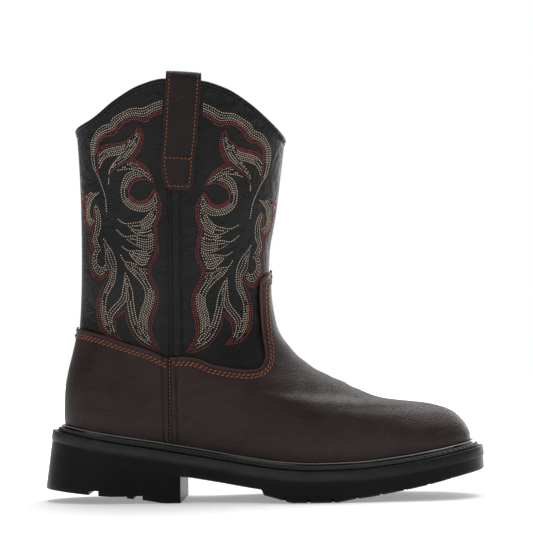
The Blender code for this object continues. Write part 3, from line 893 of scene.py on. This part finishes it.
def strapPlace(side, faceOffset=0.0):
    middle = heelX + strap["setback"]
    half = strap["thickness"] / 2
    outside = last["gap"] + half
    inside = last["wall"] + strap["innerGap"] + half
    radius = (outside + inside) / 2

    def place(a, b):
        # b from the outer foot, over the collar, to the inner foot
        total = strap["outside"] + math.pi * radius + strap["inside"]
        run = b * total
        up = np.clip(run / strap["outside"], 0, 1)
        turn = np.clip((run - strap["outside"]) / radius, 0, math.pi)
        drop = np.clip(run - strap["outside"] - math.pi * radius, 0, None)
        width = strap["width"] * readTable(strapShape, 1, up)
        lean = strap["width"] * readTable(strapShape, 2, up)
        x = middle + lean + width * (a - 0.5)
        below = np.where(run < strap["outside"], strap["outside"] * (1 - up), drop)
        s, row = placeAt(x, collarHeight(x) - below, side, 6.0)
        base, out = surfacePoint(s, row), surfaceNormal(s, row)
        rise = surfaceRise(s, row, 0.02)
        outer = base + out * (outside + faceOffset)
        over = base + out * (outside - inside) / 2
        over = over + (radius + faceOffset) * np.cos(turn)[:, None] * out
        over = over + (radius + faceOffset + strap["loopRise"]) * np.sin(turn)[:, None] * rise
        inner = base - out * (inside + faceOffset)
        onTop = ((run >= strap["outside"]) & (drop <= 0))[:, None]
        return np.where(onTop, over, np.where((run < strap["outside"])[:, None], outer, inner))

    return place


def makeStrap(side, word):
    place = strapPlace(side, strap["thickness"] / 2)
    bm = gridMesh(26, 150, place)
    band = meshObject(f"pull_strap_{word}_leather", bm, brown)
    points = readPoints(band)
    steps = np.linspace(0, 1, 700)
    edges = np.vstack([place(np.zeros(700), steps), place(np.ones(700), steps),
                       place(steps, np.zeros(700)), place(steps, np.ones(700))])
    faceOut(band, (heelX + strap["setback"], side * 0.03, 0.20))
    fromEdge = distanceTo(points, edges)
    normals = readNormals(band)
    relief = -0.00025 * bump(fromEdge, 0.0021, 0.0006) + 0.00010 * bump(fromEdge, 0.0009, 0.0006)
    writePoints(band, points + normals * relief[:, None])
    writeField(band, "edge", fromEdge)
    writeField(band, "seam", np.ones(len(points)))
    writeField(band, "dark", np.ones(len(points)))
    tree = treeOf(band)
    addWall(band, strap["thickness"])
    addBevel(band, 0.0003)
    ride(band, "brown_leather", f"pull_strap_{word}")
    return tree


straps = {side: makeStrap(side, word) for side, word in ((-1, "outer"), (1, "inner"))}
print("pull straps made")


# storm welt

weltShape = dict(beadHeight=0.0018, beadWidth=0.0019, beadClearance=0.0010, columns=360)


def weltFloor(x):
    return soleHeight(x) + last["gap"] / 2


def weltPlace(a, b):
    thick = sole["weltThickness"]
    bead = skin + weltShape["beadClearance"]
    width, tall = weltShape["beadWidth"], weltShape["beadHeight"]
    edge = skin + sole["weltLedge"]
    section = [
        (-last["wall"], thick), (bead, thick), (bead - 0.0001, thick + tall * 0.45),
        (bead + width * 0.12, thick + tall * 0.82), (bead + width * 0.38, thick + tall),
        (bead + width * 0.66, thick + tall * 0.90), (bead + width * 0.90, thick + tall * 0.55),
        (bead + width, thick + tall * 0.15), (bead + width + 0.0003, thick - 0.0006),
        (edge - 0.0014, thick - 0.0010), (edge - 0.0008, thick - 0.0013), (edge - 0.0004, thick - 0.0016),
        (edge - 0.0001, thick - 0.0020), (edge, thick - 0.0024), (edge, 0.0002), (edge - 0.0002, 0.0),
        (-last["wall"], 0.0), (-last["wall"], thick),
    ]
    out, up = sectionAt(section, b)
    points, _ = planOutline(a, out)
    return np.column_stack([points, weltFloor(points[:, 0]) + up])


def makeWelt():
    bm = gridMesh(weltShape["columns"], 17, weltPlace)
    weld(bm)
    bmesh.ops.recalc_face_normals(bm, faces=bm.faces)
    welt = meshObject("storm_welt", bm, rubberBead)
    points = readPoints(welt)
    above = points[:, 2] - weltFloor(points[:, 0])
    writeField(welt, "bead", np.clip((above - sole["weltThickness"]) / weltShape["beadHeight"], 0, 1))
    ride(welt, "sole_rubber", "welt")
    return treeOf(welt)


weltTree = makeWelt()
print("welt made")


# outsole

outsoleShape = dict(band=0.0064, step=0.0006, bevel=0.0020, bevelWidth=0.0050, columns=400,
                    lugPitch=0.0165, groove=0.0022, grooveDepth=0.0030, reach=0.014)


def treadDepth(x):
    start = heelX + sole["treadStart"] * last["length"]
    front = soleHeight(x) - treadHeight(x)
    return sole["plate"] + (front - sole["plate"]) * ease(x, start - 0.0004, start + 0.0004)


def soleRing(s, depthAt, inset):
    base, _ = planOutline(s, soleOffset)
    return soleSide(s, depthAt(base[:, 0]), inset(base[:, 0]) if callable(inset) else inset)


def level(depth):
    return lambda x: 0 * x + depth


def bevelInset(share):
    # the tread's bevel starts in front of the heel, whose flank runs on upwards
    breastX = heelX + sole["breastAt"]
    return lambda x: outsoleShape["step"] + share * ease(x, breastX, breastX + 0.006)


def wallOf(rings, columns):
    # a closed side made of rings, each a depth below the sole's top and an inset
    def place(a, b):
        level = np.rint(b * (len(rings) - 1)).astype(int)
        points = np.zeros((len(a), 3))
        for i, (depthAt, inset) in enumerate(rings):
            chosen = level == i
            points[chosen] = soleRing(a[chosen], depthAt, inset)
        return points

    return gridMesh(columns, len(rings) - 1, place)


def capOf(ring, columns):
    # closes a ring with strips from one side to the other
    def place(a, b):
        near, far = soleRing(b / 2, *ring), soleRing(1 - b / 2, *ring)
        return near + (far - near) * a[:, None]

    return gridMesh(16, columns // 2, place)


def closedForm(rings, columns):
    bm = wallOf(rings, columns)
    for ring in (rings[0], rings[-1]):
        joinInto(bm, capOf(ring, columns))
    weld(bm, 0.00002)
    bmesh.ops.dissolve_degenerate(bm, dist=0.00001, edges=bm.edges)
    bmesh.ops.recalc_face_normals(bm, faces=bm.faces)
    return bm


def grooveBlocks(stations, width, depth, reach):
    s = np.linspace(0, 1, 801)
    edge = soleRing(s, lambda x: soleHeight(x) - treadHeight(x), 0.0)
    bm = bmesh.new()
    for x in stations:
        deep = depth * (1 - 0.72 * float(ease(x, 0.055, 0.085)))
        for side in (edge[1:400], edge[:400:-1]):
            y = np.interp(x, side[:, 0], side[:, 1])
            block = bmesh.ops.create_cube(bm, size=1)["verts"]
            bmesh.ops.scale(bm, vec=(width, 2 * reach, 2 * deep), verts=block)
            bmesh.ops.translate(bm, vec=(x, y, float(treadHeight(x))), verts=block)
    return bm


def makeOutsole():
    shape = outsoleShape
    band, step = shape["band"], shape["step"]
    rings = [
        (level(0.0), 0.0004),
        (level(0.0002), 0.0001),
        (level(0.0006), 0.0),
        (level(band - 0.0004), 0.0),
        (level(band), 0.0001),
        (level(band + step), step),
        (lambda x: treadDepth(x) - outsoleShape["bevel"], step),
        (lambda x: treadDepth(x) - outsoleShape["bevel"] * 0.4, bevelInset(0.0010)),
        (treadDepth, bevelInset(outsoleShape["bevelWidth"] - step)),
    ]
    bm = closedForm(rings, outsoleShape["columns"])
    outsole = meshObject("outsole_rubber", bm, rubberSheenBand)
    start = heelX + sole["treadStart"] * last["length"]
    end = heelX + sole["treadEnd"] * last["length"]
    stations = np.arange(start + shape["lugPitch"] * 0.9, end, shape["lugPitch"])
    blocks = grooveBlocks(stations, shape["groove"], shape["grooveDepth"], shape["reach"])
    cutAway(outsole, meshObject("treadCutter", blocks))
    points = readPoints(outsole)
    writeField(outsole, "depth", soleHeight(points[:, 0]) - points[:, 2])
    outsole.data.set_sharp_from_angle(angle=math.radians(32))
    ride(outsole, "sole_rubber", "outsole")


makeOutsole()
print("outsole made")


# heel

# grooves: distance behind the breast, width and depth
heelShape = dict(
    columns=400,
    grooves=[(0.0300, 0.0062, 0.0024), (0.0430, 0.0110, 0.0007), (0.0605, 0.0066, 0.0030)],
)


def makeHeel():
    step, gap = outsoleShape["step"], last["gap"]

    def underside(above, least):
        return lambda x: np.maximum(soleHeight(x) - heelHeight(x) - above, sole["plate"] + least)

    rings = [
        (level(sole["plate"] - gap / 3), step), (underside(0.0040, 0.0005), step),
        (underside(0.0008, 0.001), step),
        (underside(0.0002, 0.001), step + 0.0002), (underside(0.0, 0.001), step + 0.0008),
    ]
    bm = closedForm(rings, heelShape["columns"])
    breastX = heelX + sole["breastAt"]
    skewAngle = math.atan2(sole["breastSkew"], 0.18)
    normal = Vector((math.cos(skewAngle), -math.sin(skewAngle), 0))
    cut = bmesh.ops.bisect_plane(bm, geom=bm.verts[:] + bm.edges[:] + bm.faces[:], dist=0.00001,
                                 plane_co=(breastX, 0, 0), plane_no=normal, clear_outer=True)
    rim = [e for e in cut["geom_cut"] if isinstance(e, bmesh.types.BMEdge)]
    bmesh.ops.holes_fill(bm, edges=rim, sides=0)
    bmesh.ops.recalc_face_normals(bm, faces=bm.faces)
    heel = meshObject("heel_rubber", bm, rubberBody)
    blocks = bmesh.new()
    for back, width, depth in heelShape["grooves"]:
        block = bmesh.ops.create_cube(blocks, size=1)["verts"]
        bmesh.ops.scale(blocks, vec=(width, 0.14, 2 * depth), verts=block)
        bmesh.ops.translate(blocks, vec=(breastX - back, 0, float(heelHeight(breastX - back))), verts=block)
    cutAway(heel, meshObject("heelCutter", blocks))
    heel.data.set_sharp_from_angle(angle=math.radians(32))
    ride(heel, "sole_rubber", "heel")


makeHeel()
print("heel made")

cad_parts["insole"].data.materials.clear()
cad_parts["insole"].data.materials.append(insoleBoard)


# threads

threads = dict(
    cream=threadLook("creamThread", (0.80, 0.66, 0.52)),
    tan=threadLook("tanThread", (0.56, 0.43, 0.33)),
    red=threadLook("redThread", (0.42, 0.050, 0.055)),
    orange=threadLook("orangeThread", (0.34, 0.100, 0.030)),
    black=threadLook("blackThread", (0.0022, 0.0022, 0.0024)),
    grey=threadLook("greyThread", (0.013, 0.013, 0.014)),
    brown=threadLook("brownThread", (0.045, 0.026, 0.020)),
    welt=threadLook("weltThread", (0.060, 0.059, 0.058)),
    ochre=threadLook("ochreThread", (0.14, 0.062, 0.022)),
)


def unitRows(vectors):
    return vectors / np.maximum(np.linalg.norm(vectors, axis=1, keepdims=True), 1e-9)


def stitchFrames(points, tree, pitch, size, slant=0.0, count=None, phase=0.0, sink=0.3):
    # one frame for each stitch of a row: its centre and its three scaled axes
    count = count or max(2, round(lineLength(points) / pitch))
    line = resample(points, count * 4 + 1)
    middles = line[2::4]
    along = unitRows(line[4::4] - line[0:-1:4])
    middles = middles + along * (phase * lineLength(points) / count)
    frames = []
    for middle, direction in zip(middles, along):
        spot, normal = tree.find_nearest(middle)[:2]
        if spot is None:
            continue
        out = Vector(normal)
        ahead = Vector(direction)
        ahead = (ahead - out * ahead.dot(out)).normalized()
        ahead.rotate(Matrix.Rotation(slant, 3, out))
        side = out.cross(ahead)
        centre = spot + out * size[2] * (0.5 - sink)
        frames.append((centre, ahead * size[0] / 2, side * size[1] / 2, out * size[2] / 2))
    return frames


def joinCopies(name, template, frames, look):
    # one mesh from many copies of a small form
    mesh = bpy.data.meshes.new("template")
    template.to_mesh(mesh)
    corners = np.array([v.co[:] for v in mesh.vertices])
    polygons = [tuple(p.vertices) for p in mesh.polygons]
    template.free()
    bpy.data.meshes.remove(mesh)
    centres = np.array([f[0] for f in frames])
    axes = np.array([[f[1], f[2], f[3]] for f in frames])
    points = (corners @ axes + centres[:, None, :]).reshape(-1, 3)
    faces = [tuple(c + i * len(corners) for c in p) for i in range(len(frames)) for p in polygons]
    joined = bpy.data.meshes.new(name)
    joined.from_pydata(points.tolist(), [], faces)
    joined.materials.append(look)
    joined.shade_smooth()
    return addObject(name, joined)


def sewn(name, frames, look):
    bm = bmesh.new()
    bmesh.ops.create_uvsphere(bm, u_segments=6, v_segments=3, radius=1,
                              matrix=Matrix.Rotation(math.radians(90), 4, "Y"))
    ride(joinCopies(name, bm, frames, look), "thread")


def keepApart(frames, least):
    # leaves out a stitch that would lie on one already sewn
    tree = pointTree([found[0] for found in frames])
    kept, dropped = [], set()
    for i, found in enumerate(frames):
        if i in dropped:
            continue
        kept.append(found)
        for _, j, _ in tree.find_range(found[0], least):
            if j > i:
                dropped.add(j)
    return kept, dropped


# flame stitching on the shaft, charted on the picture plane of the camera: each band lies
# between two edges, with two red rows along the edge that its word names
flame = dict(pitch=0.00168, size=(0.00104, 0.00080, 0.00070), rowStep=0.00176, least=0.00122, pixel=0.000708,
             leanTop=(181.8, 125.0), leanFoot=(173.2, 350.0), frontDrop=1.3)
flameBands = [
    ("redSecond",
     [(162.7, 100.6), (152.9, 103.8), (143, 108.2), (131.4, 108.7), (122.5, 112.7), (113.6, 118),
      (110, 123.8), (102, 126.5), (95.7, 133.2), (91.7, 142.1), (91.2, 151), (92.1, 160), (93.5, 167.1),
      (97.5, 175)],
     [(161.8, 112.7), (153.8, 115.4), (145.7, 121.6), (136.8, 119.4), (128.8, 120.3), (121.6, 125.6),
      (113.6, 135), (106.4, 135.9), (100.2, 140.8), (98.4, 145.7), (98, 152), (97.6, 160), (98, 166),
      (98.6, 174)]),
    ("pale", [(97, 172.5), (99.3, 178.8), (102.9, 188.6), (105.5, 197.5), (105.9, 201.5), (106.8, 212.4)],
     None),
    ("redFirst",
     [(98, 152), (99.3, 149.3), (105.5, 145.3), (113.6, 143.9), (121.6, 142.6), (128.8, 139),
      (135, 133.2), (138.6, 125.6)],
     [(98.5, 173), (101, 164), (105.5, 157.8), (113.6, 155.1), (122.5, 152.9), (129.6, 143),
      (134, 139.5), (137.7, 135.7)]),
    ("redFirst",
     [(138.6, 125.6), (142.6, 134.1), (142.1, 143), (139.5, 150.2), (134.1, 157.3), (126, 162),
      (118, 166), (111.8, 171.5), (109, 178)],
     [(137.7, 135.7), (135, 140), (131, 145), (127.9, 148), (120.7, 155.5), (113.6, 163.6), (110, 169.8),
      (108.7, 176)]),
    ("pale", [(108.9, 176), (108.7, 184.6)], None),
    ("redFirst",
     [(134, 159), (140.4, 162.7), (145.7, 167.1), (150.2, 173.4), (154.6, 182.3)],
     [(117, 170.5), (125, 169), (134, 169.2), (141, 172), (147, 177)]),
    ("redSecond",
     [(148, 174.3), (140.4, 170.7), (133.2, 171.2), (127.9, 173.4), (123.8, 178.8), (121.6, 186.8),
      (121.6, 193.9), (123.1, 200.3), (128.9, 207.2), (138, 210.7), (147, 210.7), (153.5, 207),
      (157.6, 200)],
     [(154.6, 183.2), (147.5, 179.6), (140.4, 179.6), (134.1, 182.3), (129.6, 187.7), (128.8, 193.9),
      (131, 196.5), (134.6, 199.8), (141.5, 201.5), (148.4, 198), (152.9, 191.2), (154.8, 189)]),
    ("red",
     [(155, 189), (158.7, 196.9), (161, 205), (161, 212), (158.7, 219.8), (155.9, 226), (157.6, 235.9),
      (157, 240.5), (158.2, 250), (155.3, 258.9), (151.5, 264.6), (150.5, 270.4), (152.8, 280.7),
      (157.4, 289.9), (158.4, 299), (157, 307), (154.1, 316.3), (151.8, 325.5), (152.3, 334.6),
      (156.4, 343), (159.3, 349.6)],
     [(155.2, 193), (156.8, 198), (158.8, 205), (158.8, 211.5), (156.7, 218.8), (153.7, 226),
      (155.4, 235.9), (154.8, 240.5), (156, 250), (153.3, 257.6), (149.4, 264), (148.4, 271),
      (150.8, 281.5), (155.2, 290.6), (156.2, 299), (154.8, 306.4), (151.9, 315.6), (149.6, 325),
      (150.2, 335.2), (154.4, 344), (158, 349.6)]),
    ("pale",
     [(117.4, 218.7), (124.3, 223.3), (131.2, 223.3), (140.4, 221.6), (146.1, 217), (150.7, 211.8),
      (155.3, 203.8), (156, 197)],
     [(124.3, 223.6), (127.7, 225.6), (134.6, 229.6), (142.7, 230.2), (150.7, 226.7), (155, 221),
      (156.8, 212)]),
    ("pale", [(124.3, 223.6), (131.2, 229.6), (138.1, 234.2), (145, 235.9), (152, 233.5)],
     [(127.7, 225.6), (136, 231.2), (143, 232.6), (149.5, 231), (153, 228)]),
    ("pale", [(116.2, 229.4), (124.3, 236.3), (133.5, 235.9), (142.7, 236.8), (149.5, 236.5), (154, 234)],
     [(118.2, 231.2), (124.3, 236.9), (131.2, 242.2), (139.2, 246.8), (147, 249.5), (153.6, 247)]),
    ("pale", [(121.4, 246), (128.3, 250.6), (138.1, 250.6), (146.1, 251.4), (151.8, 249.5), (154.5, 246)],
     [(123.4, 247.6), (128.3, 251.2), (133.5, 258.3), (140.4, 264.6), (147, 264)]),
    ("pale", [(120.5, 254.3), (124.3, 261.2), (131.2, 262.9), (139.2, 265.2), (147, 265.8)],
     [(122.5, 258), (125, 262), (133, 265.5), (140, 268.6), (147, 269.5)]),
    ("pale",
     [(121.6, 257), (124.3, 262), (128.9, 269.2), (135.8, 276.1), (141.5, 283), (145, 289.9),
      (145.5, 295.6), (144.4, 302.5), (141.5, 309.4), (139.8, 317.4), (139.4, 324.3), (142.6, 332),
      (150, 341)],
     [(131, 264.6), (140.4, 269.2), (147.2, 273.8), (149.8, 281.5), (153.1, 289), (154.2, 297),
      (152.7, 305), (149.8, 313), (147.6, 321), (147.6, 330), (150, 337), (154.5, 345), (158.5, 349.6)]),
    ("pale", [(125.5, 272), (123.7, 285.3), (120.8, 297.9), (111.7, 308.2), (108, 314), (109, 323),
              (111.5, 332)],
     [(125.8, 276), (126, 290), (126, 300), (119.5, 308), (113.2, 315.5), (112, 323), (114.5, 332)]),
    ("pale", [(125.9, 273), (128.9, 280.7), (132.3, 291), (133.5, 302.5), (135.8, 316.3), (139.2, 326.6),
              (146, 337)],
     [(126.2, 279), (127, 290), (127.6, 302), (129.6, 316), (133.4, 328), (140, 338), (150, 345)]),
    ("red", [(126.8, 306.5), (119.5, 311.5), (114.5, 318.5), (113.2, 327.8), (115.6, 336),
             (119.6, 339.8)],
     [(126.6, 309.8), (120, 314), (116.5, 320), (115.4, 328), (117.6, 335), (122, 339.8)]),
    ("red", [(127.2, 306.5), (129, 318.5), (132.8, 328), (139.5, 337.8), (148.2, 344.3), (158.7, 349)],
     [(126.8, 309.8), (127, 320), (131, 330), (137.6, 340), (147, 346.8), (158, 350.6)]),
    ("pale",
     [(103.4, 238.2), (107.5, 245), (111.7, 250.8), (115, 258.9), (116.2, 268), (114.5, 281.8),
      (108.2, 293.3), (105.9, 302.5), (105.9, 311.7), (107.5, 321), (111, 331.5)],
     [(104, 241), (105.5, 250), (106, 262), (110, 270), (109.5, 279), (105, 290), (101.6, 301),
      (101.2, 313), (104, 325), (111, 334.5)]),
    ("red",
     [(110.5, 266.9), (109.4, 273.8), (105.9, 280.7), (101.3, 291), (97.9, 300.2), (97.3, 314),
      (100.2, 326.6), (108.2, 335.8), (120.8, 339.8)],
     [(111, 270), (110.6, 275.4), (107.4, 282), (103.2, 292), (99.9, 301), (99.4, 313.6), (102.2, 325.4),
      (109.4, 334), (119, 338)]),
    ("redSecond",
     [(100.8, 249.7), (97.9, 253), (96.7, 260), (99, 266.3), (103.6, 267.5), (105.9, 263.5)],
     [(90.4, 252), (89.8, 261.2), (92.1, 272.7), (97.9, 279.5), (102.5, 279), (107, 273.8),
      (110.5, 266.9)]),
    ("redSecond",
     [(99, 192.3), (94.4, 196.9), (91, 202.6), (89.8, 213), (91, 218.7), (95, 222)],
     [(84.7, 193), (82.4, 197), (82.4, 203), (84.3, 211), (84.8, 220), (88.7, 230.2)]),
    ("pale", [(99, 192.3), (89.8, 192.9), (84.7, 194), (82, 189), (81.4, 176)],
     [(97, 194), (91, 195.4), (86, 197), (83, 199), (82, 206)]),
    ("redSecond",
     [(95.4, 204.9), (99, 210.7), (100.8, 222), (99.6, 231.3), (96.7, 238.2), (98.5, 244),
      (100.8, 249.7)],
     [(94, 208), (93.3, 214), (93, 222), (90.5, 231.3), (89.4, 239.4), (91.3, 246.2), (90.4, 252)]),
]


def inFront(points):
    # the front panel repeats the back one across the shaft's leaning middle
    top, foot = np.array(flame["leanTop"]), np.array(flame["leanFoot"])
    line = (foot - top) / np.linalg.norm(foot - top)
    away = np.asarray(points) - top
    return top + 2 * (away @ line)[:, None] * line - away + (0, flame["frontDrop"])


pictureCentre, pictureFocal = 266.5, view["lens"] / 36 * 533


def toSurface(points, tree, inner=False):
    # picture points, thrown from the camera onto the leather
    turn = cameraTurn().to_3x3()
    origin = Vector((view["along"], -view["distance"], view["height"]))
    found = []
    for px, py in points:
        for _ in range(40):
            ray = turn @ Vector((px - pictureCentre, pictureCentre - py, -pictureFocal)).normalized()
            spot = tree.ray_cast(origin, ray)[0]
            if spot is not None:
                break
            px += 0.4 if px < 175 else -0.4
        if spot is not None and inner:
            spot = tree.ray_cast(Vector((spot.x, 1.0, spot.z)), Vector((0, -1, 0)))[0]
        if spot is not None:
            found.append(spot[:])
    return np.array(found)


def rowColours(word, count):
    pale = ["cream", "tan"] * count
    if word == "red":
        return ["red"] * count
    if word == "pale":
        return pale[:count]
    mixed = pale[:max(count - 2, 1)] + ["red", "red"]
    return mixed if word == "redSecond" else mixed[::-1]


def makeFlame(tree, inner, word):
    frames, colours = [], []
    for front in (False, True):
        for kind, edge, other in flameBands:
            a = smoothLine(edge, 90)
            b = smoothLine(other, 90) if other else a
            width = np.percentile(np.linalg.norm(b - a, axis=1), 75) * flame["pixel"]
            count = 1 + round(width / flame["rowStep"])
            tones = rowColours(kind, count)
            lines = []
            for f in np.linspace(0, 1, count):
                flat = a + (b - a) * f
                lines.append(toSurface(inFront(flat) if front else flat, tree, inner))
            stitches = max(2, round(max(lineLength(line) for line in lines) / flame["pitch"]))
            for i in sorted(range(count), key=lambda i: min(i, count - 1 - i)):
                own = stitchFrames(lines[i], tree, flame["pitch"], flame["size"], count=stitches)
                frames += own
                colours += [tones[i]] * len(own)
    kept, dropped = keepApart(frames, flame["least"])
    colours = [c for i, c in enumerate(colours) if i not in dropped]
    for colour in ("cream", "tan", "red"):
        own = [f for f, c in zip(kept, colours) if c == colour]
        sewn(f"flame_{colour}_{word}", own, threads[colour])
    return len(kept)


print("flame stitches:", makeFlame(upperTree, False, "outer"), makeFlame(upperTree, True, "inner"))


# sewing along the brown edges: two slanted rows that follow the edge in side view

sewing = dict(pitch=0.0033, size=(0.0030, 0.00105, 0.0009), first=0.0036, second=0.0054, slant=0.40)


def insetLine(line, distance):
    # a side-view line moved to its right hand
    along = np.gradient(line, axis=0)
    along /= np.linalg.norm(along, axis=1, keepdims=True)
    return line + distance * np.column_stack([along[:, 1], -along[:, 0]])


def edgeLine(table, towardsFront):
    # the sewn edge, run on to the side seam
    ends = [(heelX + last["length"] * a, last["instep"] * u) for a, u in table]
    if towardsFront:
        ends = [(seamX + 0.0002, ends[0][1] - 0.0005)] + ends
    else:
        ends = ends + [(seamX - 0.0002, ends[-1][1] - 0.0012)]
    return smoothLine(ends, 300)


def onSide(line, side, lowest=3.0):
    s, row = placeAt(line[:, 0], line[:, 1], side, lowest)
    return surfacePoint(s, row) + skin * surfaceNormal(s, row)


def makeEdgeSewing():
    frames = []
    for table, tree, towardsFront in ((counterEdge, counterTree, False), (vampEdge, vampTree, True)):
        base = edgeLine(table, towardsFront)
        for side in (-1, 1):
            for i, distance in enumerate((sewing["first"], sewing["second"])):
                line = insetLine(base, distance)[1:-1]
                points = onSide(line, side)
                frames += stitchFrames(points, tree, sewing["pitch"], sewing["size"],
                                       slant=sewing["slant"] * side * (-1 if i else -1), phase=0.5 * i)
    sewn("edge_sewing", frames, threads["orange"])


makeEdgeSewing()


strapSewing = dict(inset=0.0023, crossRow=0.0215, loop=0.0026, pitch=0.0028, size=(0.0019, 0.0008, 0.0007))


def makeStrapSewing():
    frames = []
    inset = strapSewing["inset"]
    total = strap["outside"] + math.pi * strapSewing["loop"] + strap["inside"]

    def widthAt(b):
        return strap["width"] * readTable(strapShape, 1, np.clip(b * total / strap["outside"], 0, 1))

    for side, tree in straps.items():
        place = strapPlace(side, strap["thickness"] / 2)
        steps = np.linspace(0.012, 0.985, 300)
        share = inset / widthAt(steps)
        lines = [place(share, steps), place(1 - share, steps)]
        for b in (inset / total, strapSewing["crossRow"] / total):
            share = inset / widthAt(b)
            lines.append(place(np.linspace(share, 1 - share, 40), np.full(40, b)))
        for line in lines:
            frames += stitchFrames(line, tree, strapSewing["pitch"], strapSewing["size"])
    sewn("strap_sewing", frames, threads["orange"])


makeStrapSewing()


collarSewing = dict(drop=0.0038, pitch=0.0029, size=(0.0022, 0.0011, 0.0008))


def makeCollarSewing():
    s = np.linspace(0.002, 0.998, 900)
    line = surfacePoint(s, float(topRow)) - collarSewing["drop"] * surfaceRise(s, float(topRow), 0.05)
    frames = stitchFrames(line, upperTree, collarSewing["pitch"], collarSewing["size"])
    sewn("collar_sewing", frames, threads["grey"])


makeCollarSewing()


seamSewing = dict(low=0.030, high=0.0985)


def makeSeamSewing():
    # ochre thread down the butt seam, dark rows beside it
    ochre, dark = [], []
    z = np.linspace(seamSewing["low"], seamSewing["high"], 200)
    # thread, shift from the seam, leather, pitch, size and slant
    rows = (
        (ochre, 0.0, vampTree, 0.0026, (0.0022, 0.0013, 0.0008), 0.25),
        (dark, -0.0045, counterTree, 0.0028, (0.0019, 0.0008, 0.0006), 0.0),
        (dark, 0.0052, vampTree, 0.0028, (0.0019, 0.0008, 0.0006), 0.0),
    )
    for side in (-1, 1):
        for frames, shift, tree, pitch, size, slant in rows:
            points = onSide(np.column_stack([np.full_like(z, seamX + shift), z]), side, 0.0)
            frames.extend(stitchFrames(points, tree, pitch, size, slant=slant * side))
    sewn("seam_sewing", ochre, threads["ochre"])
    sewn("seam_sewing_dark", dark, threads["brown"])


makeSeamSewing()


stripSewing = dict(pitch=0.0030, size=(0.0021, 0.0010, 0.0007))


def makeStripSewing():
    frames = []
    steps = np.linspace(0.01, 0.99, 400)
    for place, tree in strips.values():
        for share in piping["rows"]:
            line = place(np.full(400, share), steps)
            frames += stitchFrames(line, tree, stripSewing["pitch"], stripSewing["size"])
    sewn("strip_sewing", frames, threads["black"])


makeStripSewing()


weltSewing = dict(pitch=0.0044, size=(0.0034, 0.0011, 0.0009), inset=0.0009, drop=0.0012, sink=0.2)


def makeWeltSewing():
    # the stitches lie in the groove between the bead and the outer rib
    s = np.linspace(0, 1, 1500)
    reach = skin + sole["weltLedge"] - weltSewing["inset"]
    points, _ = planOutline(s, np.full(1500, reach))
    height = weltFloor(points[:, 0]) + sole["weltThickness"] - weltSewing["drop"]
    line = np.column_stack([points, height])
    frames = stitchFrames(line, weltTree, weltSewing["pitch"], weltSewing["size"],
                          sink=weltSewing["sink"])
    sewn("welt_sewing", frames, threads["welt"])


makeWeltSewing()
print("sewing made")


# camera, floor and light

def makeCamera():
    data = bpy.data.cameras.new("camera")
    data.lens = view["lens"]
    data.sensor_width = 36
    data.clip_end = 50
    camera = addObject("camera", data)
    place = Matrix.Translation((view["along"], -view["distance"], view["height"]))
    camera.matrix_world = place @ cameraTurn()
    bpy.context.scene.camera = camera


def makeLight(name, place, target, size, energy):
    data = bpy.data.lights.new(name, "AREA")
    data.shape = "RECTANGLE"
    data.size, data.size_y = size
    data.energy = energy
    light = addObject(name, data)
    light.location = place
    light.rotation_euler = (Vector(target) - Vector(place)).to_track_quat("-Z", "Y").to_euler()


def makeSun(strength, softness, place):
    data = bpy.data.lights.new("above", "SUN")
    data.energy = strength
    data.angle = math.radians(softness)
    addObject("above", data).rotation_euler = Vector(place).to_track_quat("Z", "Y").to_euler()


def makeFloor():
    look = Look("paleFloor", 0.8)
    look.colour((0.90, 0.90, 0.90))
    look.shader.inputs["Specular IOR Level"].default_value = 0.1
    # it glows more far away, where the lights don't reach
    away = look.node("VectorMath", {0: look.place}, operation="LENGTH").outputs["Value"]
    glow = look.mix(look.span(away, 0.2, 1.4), (0.29, 0.29, 0.29), (0.85, 0.85, 0.85))
    look.tree.links.new(glow, look.shader.inputs["Emission Color"])
    look.shader.inputs["Emission Strength"].default_value = 1.0
    bm = bmesh.new()
    bmesh.ops.create_grid(bm, x_segments=1, y_segments=1, size=6.0)
    floor = meshObject("floor", bm, look.material)


makeCamera()
makeFloor()
makeSun(1.5, 36, (0.10, 0.20, 1.0))
makeLight("backTop", (0.2, 1.5, 1.6), (0, 0, 0.1), (1.6, 1.0), 10)
makeLight("rimRight", (0.9, 1.5, 0.45), (0.05, 0, 0.08), (0.6, 0.9), 7)
makeLight("strip", (0.0, -0.85, 1.45), (0, 0, 0.08), (2.0, 0.16), 1.4)
makeLight("frontLeft", (-1.3, -1.7, 1.0), (0, 0, 0.12), (1.2, 1.4), 3.7)
makeLight("frontRight", (1.5, -1.3, 0.9), (0.05, 0, 0.1), (1.2, 1.4), 2.6)


def makeWorld():
    # white to the eye and behind the boot, dim on the camera's side
    world = bpy.data.worlds.new("studio")
    world.use_nodes = True
    tree = world.node_tree

    def add(kind, inputs=(), **settings):
        return addNode(tree, kind, inputs, **settings)

    def ramp(value, low, high, start, end):
        ends = {"Value": value, "From Min": low, "From Max": high, "To Min": start, "To Max": end}
        return add("MapRange", ends).outputs[0]

    direction = add("TexCoord").outputs["Generated"]
    right, behind, above = add("SeparateXYZ", {0: direction}).outputs
    wall = add("Math", {0: right, 1: 0.45, 2: behind}, operation="MULTIPLY_ADD").outputs[0]
    wall = ramp(wall, 0.15, 0.75, 0.04, 0.85)
    roof = ramp(above, 0.60, 0.90, 0.0, 0.45)
    seen = add("LightPath").outputs["Is Camera Ray"]
    strength = add("Math", {0: wall, 1: roof}, operation="ADD").outputs[0]
    strength = add("Math", {0: strength, 1: seen}, operation="MAXIMUM").outputs[0]
    background = tree.nodes["Background"]
    background.inputs["Color"].default_value = (1, 1, 1, 1)
    tree.links.new(strength, background.inputs["Strength"])
    bpy.context.scene.world = world


makeWorld()
bpy.context.scene.view_settings.view_transform = "Standard"
print("camera, floor and light made")
